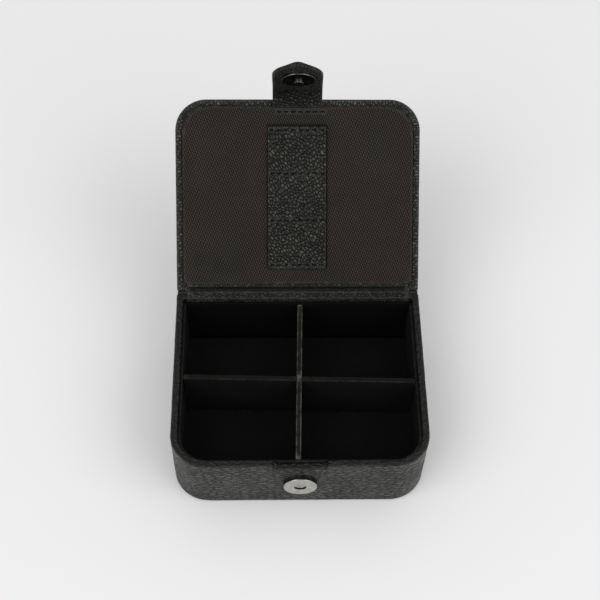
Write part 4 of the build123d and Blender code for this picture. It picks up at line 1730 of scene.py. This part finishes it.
@dataclass
class LidCover:
    """The leather on the lid, turned in round its inner face."""

    outline: Outline = LID_OUTLINE
    face: float = 35.2
    top: float = 38.7
    leather: float = 0.7
    turn_in: float = 0.5
    turn_in_width: float = 12.0
    face_insets: tuple[float, ...] = (7.0, 5.0, 4.0, 3.4, 2.95, 2.6, 2.2, 1.8)
    outer_rounding: float = 1.4
    inner_rounding: float = 1.3
    skin_bend: float = 0.9
    crown: float = 0.35
    pleats: int = 12
    pleat_depth: float = 0.22
    wrinkle_depth: float = 0.2
    wrinkle_pitch: float = 1.9
    strip_reach: float = 3.5
    strip_half: float = 48.7
    strip_press: float = 0.65
    steps: int = 44
    cell: float = 1.6
    swells: tuple[Swell, ...] = (Swell(0.05, 8.0, 6.3), Swell(0.03, 2.5, 4.9))

    def profile(self) -> Profile:
        """The cover's section, from the turned-in edge round to the leather's underside.

        Returns:
            The points, as (inset, height) pairs.
        """
        points = [(inset, self.face) for inset in (self.turn_in_width, *self.face_insets)]
        points += arc(self.inner_rounding, self.face + self.inner_rounding, self.inner_rounding, 270, 180, 6)
        points += arc(self.outer_rounding, self.top - self.outer_rounding, self.outer_rounding, 180, 90, 6)
        return points

    def inner_profile(self) -> Profile:
        """The leather's underside, from the lid's middle back to the turned-in edge.

        Returns:
            The points, as (inset, height) pairs.
        """
        skin = self.top - self.leather
        turned = self.face + self.turn_in
        return [
            (self.leather + self.skin_bend, skin), (self.leather, skin - self.skin_bend),
            (self.leather, turned), (self.turn_in_width, turned),
        ]

    def pleat(self, place: Vector) -> Vector:
        """The wrinkles of the turned-in leather, deeper as pleats at the two front corners.

        Args:
            place: the place on the piece.

        Returns:
            The move at that place.
        """
        if place.z > self.face + 1.0:
            return Vector()
        if place.y > self.outline.back - self.strip_reach and abs(place.x) < self.strip_half:
            return Vector((0.0, 0.0, self.strip_press))
        centre_x = self.outline.half_width - self.outline.front_radius
        centre_y = self.outline.front + self.outline.front_radius
        out_x, out_y = abs(place.x) - centre_x, centre_y - place.y
        along = self.outline.along(place.x, place.y) / self.wrinkle_pitch
        wander = 0.9 * noise.noise(Vector((along * 0.35, 3.7, 0.0)))
        wrinkle = noise.noise(Vector((1.25 * (along + wander), 0.0, 8.1)))
        depth = self.wrinkle_depth * wrinkle * smooth(self.face + 1.0 - place.z, 0.0, 0.5)
        if out_x > 0.0 and out_y > 0.0:
            turned = math.atan2(out_x, out_y) / (math.pi / 2.0)
            reach = math.hypot(out_x, out_y)
            fade = smooth(reach, 5.0, 10.0) * smooth(turned, 0.0, 0.12) * smooth(-turned, -1.0, -0.88)
            uneven = 0.6 + 0.4 * noise.noise(Vector((turned * 9.0, 1.0, 0.0)))
            depth += self.pleat_depth * fade * uneven * math.cos(turned * self.pleats * math.tau)
        return Vector((0.0, 0.0, -depth))

    def edge_shade(self, place: Vector) -> float:
        """Painted shade: the margin is coloured darker at its outer edge and where it meets the lining.

        Args:
            place: the place on the piece.

        Returns:
            How dark it is there, from 0 to 1.
        """
        if place.z > self.face + 2.8:
            return 0.0
        depth = self.outline.depth(place.x, place.y)
        return max(smooth(-depth, -0.75, -0.3), smooth(depth, 2.6, 2.95))

    def swell(self, place: Vector) -> Vector:
        """The slight crown of the padded top.

        Args:
            place: the place on the piece.

        Returns:
            The move at that place.
        """
        if place.z < self.top - 0.75:
            return Vector()
        across = 1.0 - (place.x / self.outline.half_width) ** 2
        along = 1.0 - (place.y / self.outline.back) ** 2
        return Vector((0.0, 0.0, self.crown * max(across, 0.0) * max(along, 0.0)))

    def places(self, place: Vector, normal: Vector) -> Pair:
        """Where a point lies on the hide: round the edge and across it, or flat on the lid's top.

        Args:
            place: the place on the piece.
            normal: the face's normal there.

        Returns:
            Its place across and along the hide.
        """
        if place.z > self.top - 0.2 and abs(normal.z) > 0.8:
            return place.x, place.y * MARGIN_LEATHER.stretch[1]
        return self.outline.along(place.x, place.y), self.outline.depth(place.x, place.y) - place.z

    def build(self) -> None:
        """Makes and places the cover."""
        shape = Shape()
        shape.shell(self.outline, self.profile(), self.inner_profile(), self.steps)
        half = self.outline.half_width
        shape.lattice("X", -half, half, self.cell)
        shape.lattice("Y", self.outline.front, self.outline.back, self.cell)
        shape.darken(self.edge_shade)
        shape.shift(self.pleat)
        shape.shift(self.swell)
        shape.ruffle(*self.swells)
        shape.unwrap(self.places)
        cover = shape.transform(LID_OPEN).finish("lid_leather")
        present(cover, MARGIN_LEATHER, Body.LID, ("lid_leather_cover",))


@dataclass
class LidLining:
    """The twill lining on its card, with the dimples of the tab's seam."""

    outline: Outline = LINING_OUTLINE
    base: float = 35.2
    face: float = 33.95
    cloth: float = 0.35
    rounding: float = 0.5
    strap_left: float = -13.0
    strap_right: float = 12.2
    strap_front: float = -30.15
    strap_back: float = 31.4
    steps: int = 30
    spans: tuple[tuple[str, float, float, float], ...] = (
        ("X", -49.5, 49.5, 1.5), ("Y", -38.0, 38.0, 1.5), ("Y", -37.6, -35.2, 0.3), ("X", -10.5, 12.5, 0.45),
    )
    strap_columns: tuple[float, ...] = (-13.6, -13.05, 12.25, 12.6, 12.95)
    strap_rows: tuple[float, ...] = (-32.0, -31.3, -30.7, -30.1)
    swell: Swell = Swell(0.05, 12.0, 9.1)

    def settle(self, place: Vector) -> Vector:
        """How the cloth dips at its stitches.

        Args:
            place: the place on the piece.

        Returns:
            The move at that place.
        """
        if place.z > self.face + 0.6:
            return Vector()
        depth = 0.0
        for seam in (TAB_SEAM, *STRAP_SEAMS):
            depth += seam.dimple(place)
        return Vector((0.0, 0.0, depth))

    def strap_shade(self, place: Vector) -> float:
        """The strap keeps light from the cloth beside it, most of all above it and on its right.

        Args:
            place: the place on the piece.

        Returns:
            How dark it is there, from 0 to 1.
        """
        if place.z > self.face + 0.6 or place.y > self.strap_back:
            return 0.0
        right, left = place.x - self.strap_right, self.strap_left - place.x
        above = self.strap_front - place.y
        beside = max(smooth(-right, -0.75, -0.1), 0.0) * smooth(-left, 0.0, 0.1)
        near_left = smooth(-left, -0.6, 0.0) * smooth(-right, 0.0, 0.1)
        in_rows = smooth(place.y, -30.8, -30.2)
        over = smooth(-above, -1.9, -0.1) * smooth(-right, -0.5, 0.0) * smooth(-left, -0.5, 0.0)
        return max(beside * in_rows, 0.6 * near_left * in_rows, 0.8 * over)

    def build(self) -> None:
        """Makes and places the lining."""
        low, edge = self.face, self.rounding
        outer = [(0.0, self.base), (0.0, low + edge)]
        outer += arc(edge, low + edge, edge, 180, 270, 4)[1:]
        inner = [(edge + 0.05, low + self.cloth), (self.cloth, low + edge + 0.1), (self.cloth, self.base)]
        shape = Shape()
        shape.shell(self.outline, outer, inner, self.steps)
        for axis, start, end, cell in self.spans:
            shape.lattice(axis, start, end, cell)
        shape.cut("X", self.strap_columns)
        shape.cut("Y", self.strap_rows)
        shape.darken(self.strap_shade)
        shape.shift(self.settle)
        shape.ruffle(self.swell)
        shape.unwrap(box_places)
        lining = shape.transform(LID_OPEN).finish("lid_lining")
        present(lining, LINING_CLOTH, Body.LID, ("lid_lining_fabric",))


@dataclass(frozen=True)
class Seam:
    """A straight row of stitches parallel to X, on the closed lid.

    Args:
        centre: the row's middle along X.
        width: the width that the row may take.
        y: the row's Y.
        face: the height of the surface that it is sewn through.
        pitch: the distance from stitch to stitch.
        length: one stitch's length.
        gauge: the thread's diameter.
        pull: how deep the thread draws the surface in.
        sweep: how far round one stitch bends, in degrees.
        lift: how far a stitch's top lies above the surface, negative below it.
    """

    centre: float
    width: float
    y: float
    face: float
    pitch: float = 3.1
    length: float = 2.2
    gauge: float = 0.95
    pull: float = 0.35
    sweep: float = 64.0
    lift: float = -0.06

    def middles(self) -> list[float]:
        """The X of each stitch's middle.

        Returns:
            The places, from left to right.
        """
        count = int(self.width // self.pitch) + 1
        start = self.centre - (count - 1) * self.pitch / 2.0
        return [start + i * self.pitch for i in range(count)]

    def dimple(self, place: Vector) -> float:
        """How deep the thread pulls the surface in at a place.

        Args:
            place: the place on the surface.

        Returns:
            The depth.
        """
        if abs(place.y - self.y) > 1.6:
            return 0.0
        across = math.exp(-(((place.y - self.y) / 0.55) ** 2))
        nearest = min(abs(place.x - middle) for middle in self.middles())
        pull = 1.0 - smooth(nearest, self.length * 0.45, self.length * 0.62)
        return self.pull * across * (0.3 + 0.7 * pull) if nearest < self.pitch else 0.0

    def build_stitch(self, shape: Shape, middle: float) -> None:
        """Adds one stitch: a short arch of thread whose ends go into the surface.

        Args:
            shape: the shape that it is added to.
            middle: the stitch's X.
        """
        radius = self.gauge / 2.0
        sweep = math.radians(self.sweep)
        bow = self.length / (2.0 * math.sin(sweep / 2.0))
        top = self.face - self.lift
        centre = Vector((middle, self.y, top + bow))
        known = set(shape.bm.verts)
        bmesh.ops.create_circle(shape.bm, cap_ends=True, segments=8, radius=radius)
        made = [v for v in shape.bm.verts if v not in known]
        face = {f for v in made for f in v.link_faces}
        stand = Matrix.Rotation(math.radians(90.0), 4, "Y")
        place = Matrix.Translation(centre) @ Matrix.Rotation(-sweep / 2.0, 4, "Y")
        place = place @ Matrix.Translation((0.0, 0.0, -bow + radius)) @ stand
        bmesh.ops.transform(shape.bm, matrix=place, verts=made)
        bmesh.ops.spin(
            shape.bm, geom=list(face), cent=centre, axis=(0, 1, 0), angle=sweep, steps=7,
            use_merge=False, use_duplicate=False,
        )

    def build_row(self, shape: Shape) -> None:
        """Adds the whole row to a shape."""
        for middle in self.middles():
            self.build_stitch(shape, middle)


LINING_FACE = 33.95
STRAP_FACE = 33.15
TAB_SEAM = Seam(centre=1.2, width=21.6, y=-36.45, face=LINING_FACE)
SEAM_REACHES = (12.0, 31.43, 51.77, 70.3)
STRAP_SEAMS = tuple(
    Seam(centre=-0.4, width=23.4, y=LID_HINGE.y - reach, face=STRAP_FACE) for reach in SEAM_REACHES
)


@dataclass
class LoopStrap:
    """The leather strap sewn down across the lining so that it forms three loops."""

    centre: float = -0.4
    width: float = 25.2
    first: float = 10.4
    last: float = 71.9
    thickness: float = 0.8
    rise: float = 0.5
    fullness: float = 0.55
    edge_rounding: float = 0.28
    cell: float = 0.48
    swell: Swell = Swell(0.06, 5.0, 7.7)

    def lift(self, reach: float) -> float:
        """How far the strap stands off the lining at a distance from the hinge.

        Args:
            reach: the distance.

        Returns:
            The height.
        """
        for near, far in zip(SEAM_REACHES, SEAM_REACHES[1:]):
            if near + 0.6 < reach < far - 0.6:
                share = (reach - near - 0.6) / (far - near - 1.2)
                return self.rise * math.sin(math.pi * share) ** self.fullness
        return 0.0

    def settle(self, place: Vector) -> Vector:
        """How the strap rises in its loops and dips at its stitches.

        Args:
            place: the place on the piece.

        Returns:
            The move at that place.
        """
        down = -self.lift(LID_HINGE.y - place.y)
        for seam in STRAP_SEAMS:
            down += seam.dimple(place)
        return Vector((0.0, 0.0, down))

    def build(self) -> None:
        """Makes and places the strap."""
        shape = Shape()
        half, length = self.width / 2.0, self.last - self.first
        columns, rows = int(self.width / self.cell), int(length / self.cell)
        grid = bmesh.ops.create_grid(shape.bm, x_segments=columns, y_segments=rows, size=1.0)["verts"]
        for vertex in grid:
            y = LID_HINGE.y - (self.first + self.last) / 2.0 + vertex.co.y * length / 2.0
            vertex.co = Vector((self.centre + vertex.co.x * half, y, STRAP_FACE))
        shape.thicken(self.thickness - 0.02)
        shape.round_edges(self.edge_rounding, 3)
        shape.shift(self.settle)
        shape.ruffle(self.swell)
        shape.unwrap(box_places)
        strap = shape.transform(LID_OPEN).finish("loop_strap_leather", CUT_LEATHER_ANGLE)
        present(strap, STRAP_LEATHER, Body.LID, ("loop_strap",))


class Stitching:
    """The thread of the strap's four seams and of the tab's seam."""

    def build(self) -> None:
        """Makes and places both pieces of stitching."""
        rows = (
            ("strap_thread", STRAP_SEAMS, "strap_stitches"),
            ("tab_seam_thread", (TAB_SEAM,), "tab_seam_stitches"),
        )
        for name, seams, node in rows:
            shape = Shape()
            for seam in seams:
                seam.build_row(shape)
            thread = shape.transform(LID_OPEN).finish(name, THREAD_ANGLE)
            present(thread, SEWING_THREAD, Body.LID, (node,))


# Tab


@dataclass
class Tab:
    """The two-layer leather tab and the half of the snap that it carries."""

    centre: float = -0.2
    half_width: float = 10.7
    layer: float = 0.9
    shoulder: float = 20.4
    tip: float = 29.0
    shoulder_rounding: float = 4.5
    tip_rounding: float = 2.0
    corner_steps: int = 8
    outer_root: float = 12.9
    inner_root: float = 7.75
    fold_reach: float = 3.0
    lean: float = -0.017
    curl: float = 0.4
    edge_rounding: float = 0.3
    cell: float = 1.1
    row: float = 1.3
    most_rows: int = 40
    fold_cell: float = 0.4
    snap_reach: float = 15.25
    disc: float = 7.0
    disc_height: float = 1.05
    disc_rounding: float = 0.22
    stud: float = 2.0
    stud_height: float = 1.6
    stud_rounding: float = 0.5
    stud_sides: int = 48
    disc_sunk: float = 0.2
    stud_sunk: float = 0.1

    def at(self, x: float, reach: float, height: float) -> Vector:
        """A place on the straight tab: across, along from the fold, and up."""
        return Vector((self.centre + x, TAB_FOLD.y - reach, height))

    def build_layer(self, name: str, low: float, high: float, root: float) -> Piece:
        """One layer of the tab's leather, bent at its fold.

        Args:
            name: the piece's name.
            low: the height of its lower face on the straight tab.
            high: the height of its upper face.
            root: how far it reaches back from the fold.

        Returns:
            The piece.
        """
        shape = Shape()
        half = self.half_width
        side, tip = self.shoulder, self.tip
        corners = ((-half, -root), (half, -root), (half, side), (0.0, tip), (-half, side))
        points = [shape.bm.verts.new(self.at(x, reach, low)) for x, reach in corners]
        shape.bm.faces.new(points)
        shoulders, nose = [points[2], points[4]], [points[3]]
        for radius, group in ((self.shoulder_rounding, shoulders), (self.tip_rounding, nose)):
            shape.bevel(group, radius, self.corner_steps, Rounded.CORNERS)
        shape.thicken(high - low)
        shape.round_edges(self.edge_rounding, 3, 60.0)
        shape.lattice("X", self.centre - half, self.centre + half, self.cell)
        reaches = [-root + 1.0 + self.row * i for i in range(self.most_rows)]
        shape.cut("Y", [TAB_FOLD.y - reach for reach in reaches if reach < tip])
        fold = self.fold_reach
        shape.lattice("Y", TAB_FOLD.y - fold, TAB_FOLD.y + fold, self.fold_cell)
        shape.ruffle(Swell(0.04, 4.0, low))
        shape.unwrap(box_places)
        for vertex in shape.bm.verts:
            vertex.co = self.fold(vertex.co)
        return shape.transform(LID_OPEN).finish(name, CUT_LEATHER_ANGLE)

    def fold(self, place: Vector) -> Vector:
        """Bends a point of the straight tab round a fillet between two flats, as the fold has set.

        Args:
            place: the point on the straight tab.

        Returns:
            Where it lies then.
        """
        reach = TAB_FOLD.y - place.y
        lean = self.lean * max(reach - self.fold_reach, 0.0)
        curl = self.curl * smooth(reach, self.shoulder, self.tip)
        place = place + Vector((lean, 0.0, curl))
        if reach <= -self.fold_reach:
            return place.copy()
        if reach >= self.fold_reach:
            return TAB_FOLD.turn(TAB_SET_ANGLE) @ place
        radius = self.fold_reach / math.tan(math.radians(TAB_SET_ANGLE / 2.0))
        share = (reach + self.fold_reach) / (2.0 * self.fold_reach)
        middle = FoldLine(TAB_FOLD.y + self.fold_reach, TAB_FOLD.z - radius)
        start = Vector((place.x, middle.y, place.z))
        return middle.turn(TAB_SET_ANGLE * share) @ start

    def build_snap(self) -> None:
        """The disc and the stud of the snap."""
        face = TAB_FOLD.z - self.layer
        centre = Vector((0.0, TAB_FOLD.y - self.snap_reach, face))
        down = Vector((0.0, 0.0, -1.0))
        disc = Shape()
        bend, low = self.disc_rounding, -self.disc_sunk
        rim = arc(self.disc - bend, self.disc_height - bend, bend, 0, 90)
        disc.lathe([(0.0, low), (self.disc, low)] + rim + [(0.0, self.disc_height)], centre, down)
        plate = disc.transform(TAB_OPEN).finish("snap_disc", METAL_ANGLE)
        present(plate, PAINTED_DARK_METAL, Body.TAB, ("snap_male_disc",))
        stud = Shape()
        low, top = self.disc_height - self.stud_sunk, self.disc_height + self.stud_height
        nose = arc(self.stud - self.stud_rounding, top - self.stud_rounding, self.stud_rounding, 0, 90)
        profile = [(0.0, low), (self.stud, low)] + nose + [(0.0, top)]
        stud.lathe(profile, centre, down, self.stud_sides)
        pin = stud.transform(TAB_OPEN).finish("snap_stud", METAL_ANGLE)
        present(pin, STUD_METAL, Body.TAB, ("snap_male_stud",))

    def build(self) -> None:
        """Makes and places the tab's pieces."""
        middle = TAB_FOLD.z
        outer = self.build_layer("tab_outer", middle + 0.01, middle + self.layer, self.outer_root)
        inner = self.build_layer("tab_inner", middle - self.layer, middle - 0.01, self.inner_root)
        present(outer, SHADED_TAB_LEATHER, None, ("tab_root_outer", "tab_outer_leather"))
        present(inner, SHADED_TAB_LEATHER, None, ("tab_root_inner", "tab_inner_leather"))
        for layer in (outer, inner):
            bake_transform(layer)
        self.build_snap()


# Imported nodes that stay, and the studio


HIDDEN_NODES: tuple[tuple[Finish, tuple[str, ...]], ...] = (
    (GREYBOARD, ("base_wall_board", "base_bottom_board", "lid_board")),
    (CARD, (
        "liner_wall_card", "liner_floor_card", "divider_long_board", "divider_cross_board", "lid_lining_card",
    )),
    (MAGNET_STONE, ("snap_magnet",)),
    (DARK_METAL, ("snap_female_plate", "snap_female_washer", "snap_male_washer")),
    (FOAM, ("lid_padding",)),
)


class PackedNodes:
    """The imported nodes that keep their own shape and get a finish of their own."""

    def __init__(self, nodes: dict[str, Piece]) -> None:
        """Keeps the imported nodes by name."""
        self.nodes = nodes

    def build(self) -> None:
        """Dresses each node that stays."""
        for finish, names in HIDDEN_NODES:
            for name in names:
                finish.dress(self.nodes[name])
                LOG.info("%s: packed node dressed", name)


@dataclass(frozen=True)
class Lamp:
    """A square soft lamp.

    Args:
        name: the lamp's name.
        place: where it hangs, in metres.
        size: its side, in metres.
        power: its power, in watts.
        target: where it points, in metres.
    """

    name: str
    place: Triple
    size: float
    power: float
    target: Triple = (0.0, 0.0, 0.03)

    def build(self) -> None:
        """Hangs the lamp and points it at its target."""
        data = bpy.data.lights.new(self.name, "AREA")
        data.shape = "SQUARE"
        data.size = self.size
        data.energy = self.power
        lamp = link(self.name, data)
        lamp.location = self.place
        aim = Vector(self.target) - Vector(self.place)
        lamp.rotation_mode = "QUATERNION"
        lamp.rotation_quaternion = aim.to_track_quat("-Z", "Y")


@dataclass
class Studio:
    """The floor, the soft lamps and the camera."""

    lamps: tuple[Lamp, ...] = (
        Lamp("key_lamp", (-1.4, -1.1, 1.7), 1.8, 23.0), Lamp("fill_lamp", (1.5, -0.9, 1.4), 1.8, 18.0),
    )
    floor_half: float = 12000.0
    floor_cells: int = 8
    sky_light: float = 0.68
    sky_seen: Colour = (0.79, 0.79, 0.785)
    camera_place: Triple = (-11.684, -248.436, 472.259)
    yaw: float = 2.51
    pitch: float = 56.80
    roll: float = 1.95
    focal_pixels: float = 1197.5
    frame_pixels: float = 600.0
    sensor: float = 36.0
    nearest: float = 0.01
    farthest: float = 50.0

    def build_floor(self) -> None:
        """The plain pale floor."""
        shape, cells = Shape(), self.floor_cells
        bmesh.ops.create_grid(shape.bm, x_segments=cells, y_segments=cells, size=self.floor_half)
        floor = shape.finish("floor")
        BACKDROP.dress(floor)

    def build_world(self) -> None:
        """A dim even sky that the camera sees as a pale backdrop."""
        world = bpy.data.worlds.new("studio_sky")
        bpy.context.scene.world = world
        world.use_nodes = True
        kit = Tree(world.node_tree)
        background = world.node_tree.nodes["Background"]
        seen = kit.node("LightPath").outputs["Is Camera Ray"]
        light = (self.sky_light, self.sky_light, self.sky_light)
        kit.put(background.inputs["Color"], kit.blend(seen, light, self.sky_seen))
        background.inputs["Strength"].default_value = 1.0

    def build_camera(self) -> None:
        """The camera, where the photograph was taken from."""
        yaw, pitch, roll = (math.radians(a) for a in (self.yaw, self.pitch, self.roll))
        look = Vector((math.sin(yaw) * math.cos(pitch), math.cos(yaw) * math.cos(pitch), -math.sin(pitch)))
        right = Vector((math.cos(yaw), -math.sin(yaw), 0.0))
        up = right.cross(look)
        rolled_right = right * math.cos(roll) + up * math.sin(roll)
        rolled_up = up * math.cos(roll) - right * math.sin(roll)
        data = bpy.data.cameras.new("photo_camera")
        data.sensor_width = self.sensor
        data.lens = self.focal_pixels / self.frame_pixels * self.sensor
        data.clip_start = self.nearest
        data.clip_end = self.farthest
        camera = link("photo_camera", data)
        axes = Matrix((rolled_right, rolled_up, -look)).transposed().to_4x4()
        camera.matrix_world = Matrix.Translation(Vector(self.camera_place) * MM) @ axes
        bpy.context.scene.camera = camera

    def build(self) -> None:
        """Builds the studio."""
        self.build_floor()
        self.build_world()
        for lamp in self.lamps:
            lamp.build()
        self.build_camera()
        bpy.context.scene.view_settings.view_transform = "Standard"


def main() -> None:
    """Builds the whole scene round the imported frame."""
    logging.basicConfig(level=logging.INFO, format="%(name)s: %(message)s")
    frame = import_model()
    Studio().build()
    makers = (
        PackedNodes(frame["nodes"]), BaseCover(), Liner(), Dividers(), FemaleSnap(), HingeLeather(),
        LidCover(), LidLining(), LoopStrap(), Stitching(), Tab(),
    )
    for maker in makers:
        LOG.info("building %s", type(maker).__name__)
        maker.build()


if __name__ == "__main__":
    main()
